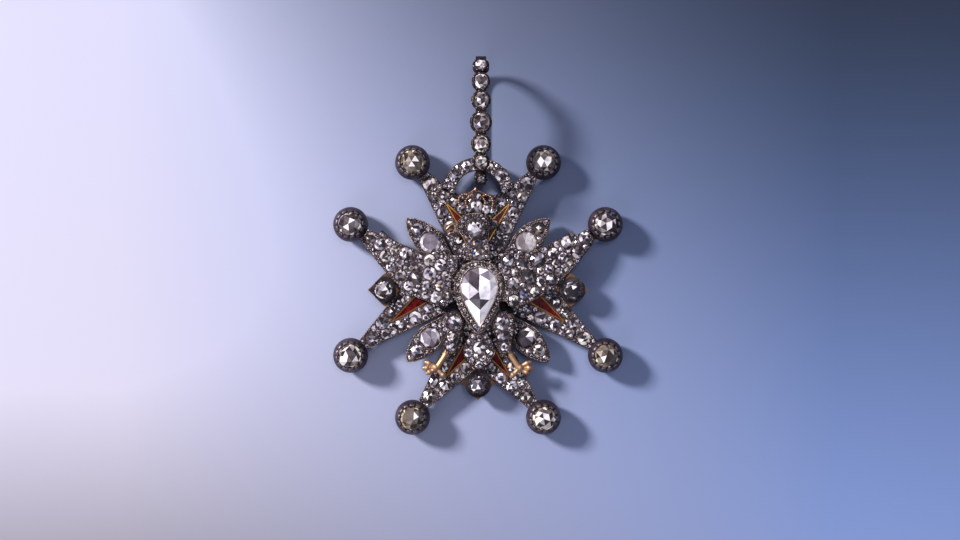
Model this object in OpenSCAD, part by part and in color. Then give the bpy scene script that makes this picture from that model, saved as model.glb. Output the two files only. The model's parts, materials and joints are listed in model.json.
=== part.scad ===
// Order badge: a diamond-set Maltese cross with eight balls, a crowned eagle and a ribbon hoop.
// It lies on its back: +Z is the face, +Y is the top of the badge, and the surface is at z = 0.

/* [Cross] */
// Distance from the centre to each ball, along its arm
ball_along = 35.2; // [34:0.1:36.5]
// Distance from the arm's middle line to each ball
ball_across = 18.1; // [17.6:0.1:18.6]
// Radius of a ball collet
ball_r = 4.7; // [4.4:0.1:4.9]
// Height of a ball's centre above the surface
ball_z = 4.2; // [4:0.1:4.4]
// Height of the underside of the cross
plate_low = 2.6; // [2.2:0.1:2.8]
// Height of the face of the cross
plate_top = 5.0; // [4.8:0.05:5.1]
// Distance from the centre to the bottom of an arm's notch
notch_along = 21.6; // [21.4:0.1:21.9]
// Angle between a notch's edge and the arm's middle line
notch_angle = 51.5; // [51:0.1:52]
// Distance from both middle lines to the corner between two arms
crotch = 3.8; // [3.6:0.1:4]
// Distance along an arm to where its points end under the balls
point_end = 34.0; // [33.6:0.1:34.4]
// Slope of an arm's side edge against its middle line
side_slope = 0.468; // [0.46:0.002:0.475]

/* [Arch] */
// Distance from the cross's centre to the centre of the arch
arch_y = 26.5; // [26.2:0.1:26.8]
// Inner radius of the arch
arch_inner_r = 6.4; // [6.2:0.1:6.6]
// Outer radius of the arch
arch_outer_r = 10.0; // [9.8:0.1:10.2]
// Underside of the arch
arch_low = 3.8; // [3.7:0.1:4]
// Face of the arch
arch_top = 5.8; // [5.7:0.1:5.9]

/* [Hoop] */
// Half the height of the ribbon hoop, and the radius of its round ends
hoop_r = 9.0; // [9:0.1:9.2]
// Thickness of the hoop's band
hoop_wall = 1.2; // [1:0.1:1.3]
// Width of the hoop's band
hoop_w = 2.8; // [2.6:0.1:3]
// Place of the hoop to the right of the middle line
hoop_x = 0.8; // [0.6:0.1:1]
// Distance from the cross's centre to the centre of the hoop's lower bend
hoop_y = 37.6; // [37.5:0.1:37.8]
// Length of the hoop's straight sides
hoop_straight = 17.2; // [16:0.1:18]

/* [Eagle] */
// Width of the pear-shaped stone
pear_w = 10.0; // [9.6:0.1:10.2]
// Length of the pear-shaped stone
pear_l = 16.2; // [15.8:0.1:16.4]
// Face of the eagle's body
body_top = 8.8; // [8.4:0.1:9]
// Height of a wing's face at its tip
wing_tip_z = 6.5; // [6.3:0.1:6.7]
// Slope of a wing, rising to the body
wing_slope = 4.5; // [4:0.1:5]

/* [Stones] */
// Gap between a stone and its seat
seat_gap = 0.08; // [0.06:0.01:0.1]
// Depth of a small stone's seat
seat_depth = 0.6; // [0.5:0.05:0.7]

/* [Hidden] */
// Gap between pieces that rest on each other
rest_gap = 0.1;
ball_reach = ball_along + ball_r;
hoop_top = hoop_y + hoop_straight + hoop_r;
// Moves the cross's centre so that the origin is at the middle of the whole badge
row_shift = (ball_reach - hoop_top) / 2;
face_z = plate_top + rest_gap;
ball_stone_r = 3.15;
ball_stone_z = ball_z + 3.1;
// Wall of the gold trays that hold the enamel
tray_wall = 0.26;
ray_top = 5.6;
// Distance from the centre to a ray's main stone, and its radius
ray_stone_y = 18.6;
ray_stone_r = 2.95;
// Distance from the centre to the stone in a notch, and its radius
notch_y = 26.0;
notch_stone_r = 2.35;
// Centre of the eagle's body
pear_x = 0.3;
pear_y = -1.9;
// Width of the set band round the pear-shaped stone
body_band = 1.95;
// Layers of the eagle's body: [underside, upper side, step in from its outline]
BODY_LAYERS = [[face_z, 7.4, 0], [7.3, 8.2, 0.25], [8.1, body_top, 0.5]];
// Stone in the crown's upper part: [x, y, radius]
CROWN_TOP_STONE = [-0.5, 25.7, 0.95];
silver = [0.52, 0.48, 0.47];
gold = [0.85, 0.62, 0.36];
red = [0.5, 0.04, 0.05];
diamond = [0.86, 0.88, 0.92];
champagne = [0.82, 0.8, 0.62];

// Rings of a stone's facets, from the lowest: [radius, height], as shares of the girdle's radius
SMALL_CUT = [[1, 0], [0.56, 0.4]];
TABLE_CUT = [[0.8, -0.3], [1, 0], [0.74, 0.26]];
ROSE_CUT = [[0.9, -0.16], [1, 0], [0.66, 0.36], [0.2, 0.54]];
// Rings of the pear-shaped stone: [share of its outline, height]
PEAR_CUT = [[0.93, -0.8], [1, 0], [0.62, 1.9], [0.2, 2.7]];

// Arms of the cross: [name, turn]
ARMS = [["top", 0], ["left", 90], ["bottom", 180], ["right", 270]];
// Rays between the arms: [name, turn]
RAYS = [["upper_left", 45], ["lower_left", 135], ["lower_right", 225], ["upper_right", 315]];
// Balls: [name, turn of the arm, side of the arm]
BALLS = [
    ["top_left", 0, -1], ["top_right", 0, 1], ["left_upper", 90, 1], ["left_lower", 90, -1],
    ["bottom_left", 180, 1], ["bottom_right", 180, -1], ["right_lower", 270, 1], ["right_upper", 270, -1]
];
// Small stones of one point of an arm: [along the arm, across it, radius]
POINT_STONES = [
    [29.3, 13.4, 1.8], [26.5, 9.3, 1.4], [25.6, 12.2, 1.3], [24.3, 6.3, 1.4],
    [21.6, 3.4, 1.3], [21.3, 9.7, 1.55], [17.3, 7.7, 1.7], [13.7, 5.3, 1.2]
];
// Points that show their stones: [turn of the arm, side of the arm, stones that other pieces cover]
OPEN_POINTS = [[0, -1, [4]], [0, 1, [4]], [90, -1, []], [180, -1, [6, 7]], [180, 1, [6, 7]], [270, 1, []]];
// Stones of the arch: [angle round the arch, radius]
ARCH_STONES = [[142, 1.5], [112, 1.15], [66, 1.15], [40, 1.6]];
// Half widths of a ray: [distance from the centre, half width]
RAY_OUTLINE = [
    [9, 0.9], [13, 2.2], [16, 3.15], [18.6, 3.85], [21, 3.75], [23.5, 3.05], [26.2, 1.75], [27.8, 0.35]
];
// Small stones of a ray: [distance from the centre, across it, radius]
RAY_STONES = [[23.7, 0, 1.65], [26.3, 0, 0.6]];
// Outline of the left wing: [away from the middle line, above it]
LEFT_WING_OUTLINE = [
    [5.5, 9.5], [9, 9.8], [13.2, 10.2], [18, 11.4], [21.5, 12.9], [24.5, 14.6], [26.4, 16.6], [27.4, 15.4],
    [30.2, 16.9], [31.3, 15.0], [29.6, 11.4], [25.9, 6.0], [22.4, 1.9], [18.2, -1.6], [14.6, -2.9],
    [10.4, -4.3], [8.4, -3.8], [5.5, -3.1]
];
// Outline of the right wing: [away from the middle line, above it]
RIGHT_WING_OUTLINE = [
    [5.5, 10.1], [10, 10.2], [13.6, 10.3], [18.5, 12.0], [22.6, 14.2], [25.9, 16.1], [26.9, 14.9],
    [30.2, 16.7], [31.5, 14.9], [29.9, 11.0], [27.4, 7.2], [22.6, 2.4], [18.9, -0.9], [14.6, -3.2],
    [10.2, -4.9], [8.5, -4.5], [7.6, -3.3], [5.5, -2.7]
];
// Stones of the left wing: [away from the middle line, above it, radius]
LEFT_WING_STONES = [
    [29.2, 14.5, 1.25], [27.0, 12.5, 1.5], [25.5, 9.2, 1.5], [24.5, 13.3, 0.95], [22.8, 11.0, 1.15],
    [24.0, 6.4, 1.05], [21.4, 7.6, 1.1], [19.7, 10.0, 1.7], [17.8, 6.5, 1.15], [21.3, 4.1, 1.5],
    [16.0, 9.1, 1.0], [13.2, 8.1, 1.45], [16.8, 3.3, 1.6], [19.0, 1.2, 1.25], [16.5, 0.2, 1.1],
    [13.2, 4.6, 1.75], [10.2, 6.9, 1.6], [14.1, 1.0, 1.25], [11.7, -1.9, 1.4], [10.3, 1.2, 1.25],
    [8.7, 3.8, 1.15], [8.3, -1.4, 1.4], [7.4, 7.4, 0.95], [14.3, -1.3, 0.9]
];
// Stones of the right wing: [away from the middle line, above it, radius]
RIGHT_WING_STONES = [
    [29.3, 14.4, 1.7], [27.4, 10.4, 1.75], [24.5, 13.2, 1.8], [25.5, 7.2, 1.05], [20.6, 10.2, 1.3],
    [23.4, 8.9, 1.3], [16.4, 8.3, 2.0], [19.5, 5.9, 1.1], [17.2, 5.3, 0.9], [21.4, 7.2, 1.0],
    [22.3, 4.9, 1.1], [13.9, 3.5, 2.0], [20.0, 2.8, 1.35], [17.3, 2.4, 1.25], [12.2, 7.1, 1.45],
    [9.9, 5.0, 1.1], [8.2, 8.1, 1.3], [7.7, 5.4, 0.9], [9.6, 1.7, 1.7], [15.7, -0.6, 1.4],
    [12.7, -1.1, 1.3], [9.8, -2.9, 1.5]
];
// Stones of the head and neck: [x, y, radius, height of the face below them]
HEAD_STONES = [
    [-0.9, 16.8, 2.0, 9.4], [-0.2, 13.1, 1.3, 8.2], [0.1, 9.8, 1.7, 8.2], [-2.2, 11.6, 0.6, 8.2],
    [2.3, 11.7, 0.65, 8.2], [-3.3, 14.7, 0.6, 8.2], [-4.7, 17.6, 0.65, 8.2], [4.3, 18.1, 0.75, 6.6]
];
// Stones of the crown's base: [x, y, radius]
CROWN_STONES = [
    [-0.5, 22.9, 1.3], [-4.6, 22.2, 0.85], [2.3, 22.4, 1.0], [3.8, 21.9, 0.45], [-2.6, 22.5, 0.65]
];
// Stones of the tail: [x, y, radius]
TAIL_STONES = [
    [0.4, -15.8, 1.6], [-2.6, -17.2, 1.2], [3.3, -17.2, 1.2], [0.3, -20.6, 1.1], [-2.2, -14.2, 0.9],
    [2.9, -14.2, 0.9], [0.3, -13.1, 0.8]
];
// Outline of the tail: [x, y]
TAIL_OUTLINE = [
    [-1.9, -11.2], [-3.9, -14.5], [-4.1, -17.4], [-3.0, -20.0], [-1.3, -21.2], [0.3, -22.4],
    [1.9, -21.2], [3.6, -20.0], [4.7, -17.4], [4.5, -14.5], [2.5, -11.2]
];
// Stones of a thigh: [away from the middle line, above it, radius]
THIGH_STONES = [[6.6, -9.0, 1.85], [7.0, -12.8, 1.35], [7.4, -15.6, 1.05]];
// Jaws of the beak, from the head: [x, y, radius]
UPPER_JAW = [[-5.7, 18.2, 0.6], [-6.7, 18.15, 0.55], [-7.8, 17.5, 0.5], [-8.6, 16.7, 0.4], [-8.9, 16.0, 0.2]];
LOWER_JAW = [[-5.5, 16.2, 0.5], [-6.6, 15.8, 0.45], [-7.6, 15.6, 0.4], [-8.4, 15.1, 0.2]];
// Number of small stones round the pear-shaped stone
halo_count = 24;
// Stones of the hoop, from the free end: [place along the hoop from its lower bend, turn, radius]
HOOP_STONES = [
    [17.2, 35, 1.8], [17.2, 6, 2.05], [13.2, 0, 2.2], [7.3, 0, 2.55], [1.5, 0, 2.25], [0, -20, 1.95],
    [0, -51, 1.35]
];

// Arms that have a stone in their notch
NOTCHES = [for (a = ARMS) if (a[0] != "top") a];

// Moves what it holds from the cross's centre to its place in the row
module in_row() {
    translate([0, row_shift, 0]) children();
}

// Mirrors what it holds to the badge's left, for side -1
module on_side(side) {
    scale([side, 1, 1]) children();
}

// Ring of n points, turned by half a step for each ring below it
function ring(n, r, z, i) = [
    for (j = [0 : n - 1]) let (t = (j + i / 2) * 360 / n) [r * cos(t), r * sin(t), z]
];

// Point of a pear outline of the given width and length, with its point towards -Y
function pear_point(w, l, t) = [w / 1.54 * sin(t) * sin(t / 2), -l / 2 * cos(t)];

function pear_ring(n, share, z, i) = [
    for (j = [0 : n - 1])
        let (p = pear_point(pear_w * share, pear_l * share, (j + i / 2) * 360 / n)) [p[0], p[1], z]
];

// Closed solid through rings of equal count, each turned half a step from the one below
module skin(rings) {
    n = len(rings[0]);
    top = (len(rings) - 1) * n;
    sides = [
        for (k = [0 : len(rings) - 2], j = [0 : n - 1])
            let (next = (j + 1) % n, low = k * n, high = low + n)
                each [[low + j, high + j, low + next], [high + j, high + next, low + next]]
    ];
    polyhedron(
        points = [for (one = rings) each one],
        faces = concat([[for (j = [0 : n - 1]) j]], sides, [[for (j = [n - 1 : -1 : 0]) top + j]])
    );
}

// Cut stone whose girdle has radius r and lies at z = 0
module cut_stone(r, cut, n = 8) {
    turned = cut[0][1] < 0 ? -180 / n : 0;
    rotate(turned) skin([for (i = [0 : len(cut) - 1]) ring(n, r * cut[i][0], r * cut[i][1], i)]);
}

// Eight-sided seat of a stone, from z = 0 down
module seat(r, depth = seat_depth) {
    translate([0, 0, -depth]) cylinder(r = r + seat_gap, h = depth + 1, $fn = 8);
}

// Outline through half widths that are given along Y
module leaf(rows) {
    right = [for (p = rows) [p[1], p[0]]];
    left = [for (i = [len(rows) - 1 : -1 : 0]) [-rows[i][1], rows[i][0]]];
    polygon(concat(right, left));
}

// Slab of an outline with its upper edge stepped in, between two heights
module stepped(low, high, step) {
    translate([0, 0, low]) linear_extrude(high - low - step) children();
    translate([0, 0, low]) linear_extrude(high - low) offset(delta = -step) children();
}

// Half of an arm: from the middle line out to the point under the ball
function arm_half() = [
    [0, 0],
    [crotch, crotch],
    [crotch + side_slope * (point_end - crotch), point_end],
    [(point_end - notch_along) * tan(notch_angle), point_end],
    [0, notch_along]
];

module arm() {
    for (side = [-1, 1]) on_side(side) polygon(arm_half());
}

module ball_places() {
    for (b = BALLS) rotate(b[1]) translate([b[2] * ball_across, ball_along, 0]) children();
}

// Outline of the enamel field of an arm, grown by g
module enamel_field(g) {
    offset(r = g, $fn = 16) polygon([[0, 8.5], [8.5, 23.5], [0, 15.6], [-8.5, 23.5]]);
}

module point_stone_places() {
    for (p = OPEN_POINTS, i = [0 : len(POINT_STONES) - 1]) if (len(search(i, p[2])) == 0) {
        s = POINT_STONES[i];
        rotate(p[0]) translate([p[1] * s[1], s[0], plate_top]) stone_size(s[2]) children();
    }
}

// Hands a stone's radius to the shape that it holds
module stone_size(r) {
    $r = r;
    children();
}

module arch_stone_places() {
    middle = (arch_inner_r + arch_outer_r) / 2;
    translate([0, arch_y, arch_top])
        for (s = ARCH_STONES) rotate(s[0]) translate([middle, 0, 0]) stone_size(s[1]) children();
}

module cross_frame() color(silver) {
    difference() {
        union() {
            translate([0, 0, plate_low]) linear_extrude(plate_top - plate_low)
                union() {
                    for (a = ARMS) rotate(a[1]) arm();
                    polygon(CROWN_GROUND);
                }
            translate([0, arch_y, arch_low]) linear_extrude(arch_top - arch_low) difference() {
                circle(arch_outer_r, $fn = 96);
                circle(arch_inner_r, $fn = 96);
                translate([-arch_outer_r, -2 * arch_outer_r]) square(2 * arch_outer_r);
            }
            ball_places() translate([0, 0, ball_z]) sphere(ball_r, $fn = 64);
        }
        ball_places() {
            translate([0, 0, -ball_r]) cylinder(r = ball_r, h = ball_r, $fn = 32);
            translate([0, 0, ball_stone_z - 0.65]) cylinder(r = ball_stone_r + seat_gap, h = ball_r, $fn = 32);
        }
        for (a = ARMS) rotate(a[1])
            translate([0, 0, plate_top - 1.2]) linear_extrude(3) enamel_field(rest_gap + tray_wall);
        point_stone_places() seat($r);
        arch_stone_places() seat($r);
    }
}

module tray() color(gold) {
    difference() {
        translate([0, 0, plate_top - 1.1]) linear_extrude(1.15) enamel_field(tray_wall);
        translate([0, 0, plate_top - 0.8]) linear_extrude(2) enamel_field(0);
    }
}

module enamel() color(red) {
    translate([0, 0, plate_top - 0.75]) linear_extrude(0.6) enamel_field(-0.05);
}

module ray() color(silver) {
    difference() {
        stepped(3.4, ray_top, 0.35) leaf(RAY_OUTLINE);
        translate([0, ray_stone_y, ray_top]) seat(ray_stone_r, 1.15);
        for (s = RAY_STONES) translate([s[1], s[0], ray_top]) seat(s[2]);
    }
}

// Shield in a notch, pointed away from the centre
module notch_shield() color(gold) {
    translate([0, 0, 3.2]) linear_extrude(0.9) difference() {
        polygon([
            [-5.0, 24.9], [-4.2, 26.3], [-2.8, 27.7], [-1.3, 29.1], [0, 30.5], [1.3, 29.1], [2.8, 27.7],
            [4.2, 26.3], [5.0, 24.9], [0, notch_along - 1]
        ]);
        offset(delta = rest_gap) arm();
    }
}

// Collet of a notch's stone: round, or pointed as on the left
module notch_collet(pointed) color(silver) {
    difference() {
        union() {
            if (pointed) {
                translate([0, 0, 4.2]) linear_extrude(1.5) notch_leaf(0.9);
                translate([0, 0, face_z]) stepped(0, 1.2, 0.35) notch_leaf(0);
            } else {
                translate([0, notch_y, 4.2]) cylinder(r = 2.75, h = 1.5, $fn = 48);
                translate([0, notch_y, face_z]) cylinder(r = 3.55, h = 1.2, $fn = 48);
            }
            translate([0, notch_y, face_z]) cylinder(r = 2.9, h = 1.8, $fn = 48);
        }
        translate([0, notch_y, face_z + 1.8]) seat(notch_stone_r, 0.8);
    }
}

// Outline of the pointed collet, made smaller by g
module notch_leaf(g) {
    offset(delta = -g) polygon([
        [0, 29.9], [1.1, 28.7], [2.5, 27.7], [3.7, 26.6], [3.8, 25.2], [2.9, 23.6], [1.2, 22.6],
        [-1.2, 22.6], [-2.9, 23.6], [-3.8, 25.2], [-3.7, 26.6], [-2.5, 27.7], [-1.1, 28.7]
    ]);
}

module eagle_body() color(silver) {
    in_body_place() difference() {
        for (layer = BODY_LAYERS)
            translate([0, 0, layer[0]]) linear_extrude(layer[1] - layer[0]) pear_outline(body_band - layer[2]);
        translate([0, 0, body_top - 1]) linear_extrude(3) pear_outline(seat_gap);
        halo_places() seat($r, 0.4);
    }
}

module in_body_place() {
    translate([pear_x, pear_y, 0]) children();
}

module pear_outline(grow) {
    offset(r = grow, $fn = 32) polygon([for (j = [0 : 31]) pear_point(pear_w, pear_l, j * 360 / 32)]);
}

// Room round the eagle's body for the pieces that meet it
module body_room() {
    in_body_place() linear_extrude(20) pear_outline(body_band + rest_gap);
}

// Length along the pear's outline to each of its sampled points, from the point of the pear
HALO_STEP = 5;
function halo_run(t) = t <= 0 ? 0
    : let (last = t - HALO_STEP)
        halo_run(last) + norm(pear_point(pear_w, pear_l, t) - pear_point(pear_w, pear_l, last));
HALO_RUNS = [for (t = [0 : HALO_STEP : 360]) [halo_run(t), t]];

// Small stones in a band round the pear-shaped stone, evenly along its outline
module halo_places() {
    whole = halo_run(360);
    for (j = [0.5 : halo_count]) {
        t = lookup(whole * j / halo_count, HALO_RUNS);
        p = pear_point(pear_w, pear_l, t);
        along = pear_point(pear_w, pear_l, t + 1) - pear_point(pear_w, pear_l, t - 1);
        out = [along[1], -along[0]] / norm(along);
        translate([p[0] + 0.78 * out[0], p[1] + 0.78 * out[1], body_top]) stone_size(0.56) children();
    }
}

module eagle_head() color(silver) {
    difference() {
        union() {
            stepped(face_z, 8.2, 0.3) head_outline();
            stepped(face_z, 6.6, 0.3) tuft_outline();
            translate([-0.9, 16.8, 8.0]) cylinder(r = 3.1, h = 1.4, $fn = 48);
        }
        for (s = HEAD_STONES) translate([s[0], s[1], s[3]]) seat(s[2]);
        body_room();
    }
}

module head_outline() {
    polygon([
        [-5.9, 18.1], [-5.8, 18.8], [-5.1, 19.4], [-4.3, 20.0], [-3.4, 20.7], [-2.2, 21.05], [-0.8, 21.1],
        [0.6, 21.0], [1.8, 20.5], [2.7, 19.6], [3.1, 18.2], [3.15, 16.6], [3.0, 15.2], [3.0, 13.2], [3.3, 11.4],
        [3.3, 8.2], [-3.1, 8.2], [-3.1, 11.0], [-3.4, 12.8], [-4.3, 14.8], [-5.2, 15.9], [-5.8, 16.9]
    ]);
}

// Tuft behind the eagle's head
module tuft_outline() {
    polygon([[1.6, 19.9], [3.0, 19.6], [4.5, 19.2], [5.8, 18.6], [5.2, 17.2], [3.6, 16.7], [2.0, 16.8]]);
}

// Open hooked beak: two curved jaws on one root
module beak() color(gold) {
    difference() {
        union() {
            tube(UPPER_JAW, 7.3);
            tube(LOWER_JAW, 7.1);
            translate([-6.6, 15.9, 6.5]) cube([1.6, 2.3, 1.3]);
        }
        linear_extrude(20) offset(delta = rest_gap) head_outline();
    }
}

// Direction of a path of [x, y, ...] rows at one of its points
function heading(path, i) =
    let (
        a = path[max(i - 1, 0)],
        b = path[min(i + 1, len(path) - 1)]
    ) atan2(b[1] - a[1], b[0] - a[0]);

// Bar of eight sides along a path of [x, y, radius] rows, at height z
module tube(path, z, n = 8) {
    rings = [
        for (i = [0 : len(path) - 1])
            let (h = heading(path, i), c = path[i], r = c[2])
                [for (j = [0 : n - 1]) let (t = j * 360 / n)
                    [c[0] - r * cos(t) * sin(h), c[1] + r * cos(t) * cos(h), z + r * sin(t)]]
    ];
    top = (len(rings) - 1) * n;
    sides = [
        for (k = [0 : len(rings) - 2], j = [0 : n - 1])
            let (next = (j + 1) % n, low = k * n, high = low + n)
                each [[low + j, high + j, low + next], [high + j, high + next, low + next]]
    ];
    polyhedron(
        points = [for (one = rings) each one],
        faces = concat([[for (j = [0 : n - 1]) j]], sides, [[for (j = [n - 1 : -1 : 0]) top + j]])
    );
}

module crown() color(gold) {
    difference() {
        union() {
            translate([0, 0, face_z]) linear_extrude(1.6) polygon([
                [-5.7, 21.3], [-5.5, 23.0], [-2.2, 23.8], [-1.3, 24.7], [0.3, 24.7], [1.2, 23.9], [4.5, 22.7],
                [4.4, 21.2], [2.2, 21.5],
                [-2.6, 21.6]
            ]);
            for (loop = CROWN_LOOPS) tube([for (p = loop) [p[0], p[1], 0.4]], 6.3);
            tube([[-3.6, 25.9, 0.36], [-2.2, 26.7, 0.38], [-0.4, 28.0, 0.36]], 6.35);
            tube([[2.2, 26.3, 0.36], [0.9, 26.9, 0.38], [-0.9, 28.0, 0.36]], 6.25);
            tube([[-0.6, 26.9, 0.4], [-0.6, 27.5, 0.65], [-0.6, 28.0, 0.65], [-0.6, 28.5, 0.35]], 6.2);
            in_crown_top(face_z) cylinder(r = CROWN_TOP_STONE[2] + 0.4, h = 1.7, $fn = 32);
        }
        for (s = CROWN_STONES) translate([s[0], s[1], face_z + 1.6]) seat(s[2], 0.4);
        in_crown_top(face_z + 1.7) seat(CROWN_TOP_STONE[2], 0.4);
    }
}

module in_crown_top(z) {
    translate([CROWN_TOP_STONE[0], CROWN_TOP_STONE[1], z]) children();
}

// Plate behind the crown, which closes the foot of the arch: [x, y]
CROWN_GROUND = [
    [-4.5, 22.5], [-6.6, 26.9], [-4.9, 26.2], [-2.4, 26.3], [0, 26.7], [2.4, 26.3], [4.9, 26.2], [6.6, 26.9],
    [4.5, 22.5]
];

// Loops of the crown: corners [x, y] of each
CROWN_LOOPS = [
    [[-4.9, 22.8], [-5.3, 24.2], [-5.1, 25.4], [-4.3, 26.2], [-3.3, 26.4], [-2.5, 25.9]],
    [[-3.1, 23.2], [-3.4, 24.3], [-3.0, 25.2], [-2.2, 25.6], [-1.5, 26.3]],
    [[2.0, 23.2], [2.1, 24.3], [1.5, 25.2], [1.0, 25.7], [0.4, 26.4]],
    [[3.9, 22.5], [4.2, 24.2], [3.9, 25.3], [3.1, 26.0], [2.0, 26.2], [1.1, 25.6]]
];

// Carries a flat shape at z = 0 to a wing's sloping face
module wing_face() {
    translate([31.6, 0, wing_tip_z]) rotate([0, wing_slope, 0]) translate([-31.6, 0, 0]) children();
}

module wing(outline, stones) color(silver) {
    difference() {
        translate([0, 0, face_z]) linear_extrude(6) polygon(outline);
        wing_face() translate([0, -20, 0]) cube([60, 60, 12]);
        wing_face() for (s = stones) translate([s[0], s[1], 0]) seat(s[2], 0.5);
        ray_room(-45);
        body_room();
        mirror([1, 0, 0]) body_room();
    }
}

// Room over a ray, so that a wing or a thigh can pass over it
module ray_room(turn) {
    rotate(turn) linear_extrude(ray_top + 0.8) offset(delta = 0.15) leaf(RAY_OUTLINE);
}

module wing_stones(stones) color(diamond) {
    wing_face() for (s = stones) translate([s[0], s[1], -0.1]) cut_stone(s[2], SMALL_CUT);
}

module tail() color(silver) {
    difference() {
        stepped(face_z, 7.4, 0.3) polygon(TAIL_OUTLINE);
        for (s = TAIL_STONES) translate([s[0], s[1], 7.4]) seat(s[2]);
        body_room();
    }
}

module thigh_outline() {
    hull() {
        translate([7.0, -9.0]) circle(3.2, $fn = 32);
        translate([7.5, -16.0]) circle(1.8, $fn = 32);
    }
}

module thigh() color(silver) {
    difference() {
        stepped(face_z, 7.8, 0.3) thigh_outline();
        for (s = THIGH_STONES) translate([s[0], s[1], 7.8]) seat(s[2]);
        ray_room(-135);
        body_room();
        mirror([1, 0, 0]) body_room();
    }
}

// Shank and four toes of a foot
module foot() color(gold) {
    difference() {
        union() {
            tube([[8.2, -16.4, 0.85], [9.6, -18.8, 0.75], [11.3, -21.4, 0.85], [12.0, -22.0, 0.5]], 6.75);
            tube([[10.9, -21.4, 0.6], [12.0, -20.9, 0.55], [13.3, -20.2, 0.68], [14.3, -19.8, 0.5], [14.7, -19.7, 0.25]], 6.7);
            tube([[11.0, -21.1, 0.6], [12.6, -21.3, 0.55], [14.0, -21.4, 0.68], [14.9, -21.4, 0.5], [15.3, -21.5, 0.25]], 6.6);
            tube([[11.1, -21.0, 0.6], [12.1, -21.9, 0.55], [13.2, -22.6, 0.66], [14.0, -22.9, 0.48], [14.3, -23.0, 0.25]], 6.65);
            tube([[11.6, -21.0, 0.6], [10.8, -22.1, 0.6], [9.8, -23.2, 0.7], [9.1, -23.8, 0.5], [8.8, -24.0, 0.25]], 6.7);
        }
        linear_extrude(20) offset(delta = rest_gap) thigh_outline();
    }
}

// Turns the YZ outline of what it holds into a band that stands on its edge
module hoop_band(w) {
    translate([hoop_x - w / 2, 0, 0]) rotate([90, 0, 90]) linear_extrude(w) children();
}

module hoop_outline(r) {
    for (y = [hoop_y, hoop_y + hoop_straight]) translate([y, hoop_r]) circle(r, $fn = 96);
    translate([hoop_y, hoop_r - r]) square([hoop_straight, 2 * r]);
}

module hoop_stone_place(s) {
    translate([hoop_x, hoop_y + s[0], hoop_r]) rotate([-s[1], 0, 0])
        translate([0, 0, hoop_r + 0.9]) stone_size(s[2]) children();
}

module hoop() color(silver) {
    difference() {
        union() {
            hoop_band(hoop_w) hoop_outline(hoop_r);
            for (s = HOOP_STONES) hoop_stone_place(s)
                translate([0, 0, -1.6]) cylinder(r = $r + 0.42, h = 1.6, $fn = 48);
        }
        hoop_band(20) hoop_outline(hoop_r - hoop_wall);
        for (s = HOOP_STONES) hoop_stone_place(s) seat($r, 0.3 * $r + 0.2);
    }
}

module frame_stones() color(diamond) {
    point_stone_places() translate([0, 0, -0.1]) cut_stone($r, SMALL_CUT);
    arch_stone_places() translate([0, 0, -0.1]) cut_stone($r, SMALL_CUT);
}

module ray_small_stones() color(diamond) {
    for (r = RAYS, s = RAY_STONES) rotate(r[1]) translate([s[1], s[0], ray_top - 0.1]) cut_stone(s[2], SMALL_CUT);
}

module eagle_stones() color(diamond) {
    for (s = HEAD_STONES) translate([s[0], s[1], s[3] - 0.1]) cut_stone(s[2], SMALL_CUT);
    for (s = CROWN_STONES) translate([s[0], s[1], face_z + 1.55]) cut_stone(s[2], SMALL_CUT);
    in_crown_top(face_z + 1.65) cut_stone(CROWN_TOP_STONE[2], SMALL_CUT);
    in_body_place() halo_places() translate([0, 0, -0.05]) cut_stone($r, SMALL_CUT);
}

module tail_stones() color(diamond) {
    for (s = TAIL_STONES) translate([s[0], s[1], 7.3]) cut_stone(s[2], SMALL_CUT);
    for (side = [-1, 1], s = THIGH_STONES) translate([side * s[0], s[1], 7.7]) cut_stone(s[2], SMALL_CUT);
}

module pear_stone() color(diamond) {
    in_body_place() translate([0, 0, body_top - 0.1])
        skin([for (i = [0 : len(PEAR_CUT) - 1]) pear_ring(16, PEAR_CUT[i][0], PEAR_CUT[i][1], i)]);
}

in_row() cross_frame();
for (a = ARMS) {
    in_row() rotate(a[1]) tray();
    in_row() rotate(a[1]) enamel();
}
for (r = RAYS) {
    in_row() rotate(r[1]) ray();
    in_row() rotate(r[1])
        translate([0, ray_stone_y, ray_top - 0.1]) color(diamond) cut_stone(ray_stone_r, TABLE_CUT);
}
for (a = NOTCHES) {
    in_row() rotate(a[1]) notch_shield();
    in_row() rotate(a[1]) notch_collet(a[0] == "left");
    in_row() rotate(a[1])
        translate([0, notch_y, face_z + 1.7]) color(diamond) cut_stone(notch_stone_r, ROSE_CUT);
}
for (b = BALLS) {
    in_row() rotate(b[1])
        translate([b[2] * ball_across, ball_along, ball_stone_z]) color(champagne) cut_stone(ball_stone_r, ROSE_CUT);
}
for (i = [1 : len(HOOP_STONES)]) {
    in_row()
        hoop_stone_place(HOOP_STONES[i - 1]) translate([0, 0, -0.1]) color(diamond) cut_stone($r, TABLE_CUT);
}
in_row() eagle_body();
in_row() eagle_head();
in_row() beak();
in_row() crown();
in_row() on_side(-1) wing(LEFT_WING_OUTLINE, LEFT_WING_STONES);  // wing_left
in_row() wing(RIGHT_WING_OUTLINE, RIGHT_WING_STONES);  // wing_right
in_row() tail();
in_row() on_side(-1) thigh();  // thigh_left
in_row() thigh();  // thigh_right
in_row() on_side(-1) foot();  // foot_left
in_row() foot();  // foot_right
in_row() hoop();
in_row() pear_stone();
in_row() frame_stones();
in_row() ray_small_stones();
in_row() on_side(-1) wing_stones(LEFT_WING_STONES);  // wing_left_stones
in_row() wing_stones(RIGHT_WING_STONES);  // wing_right_stones
in_row() eagle_stones();
in_row() tail_stones();
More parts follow.
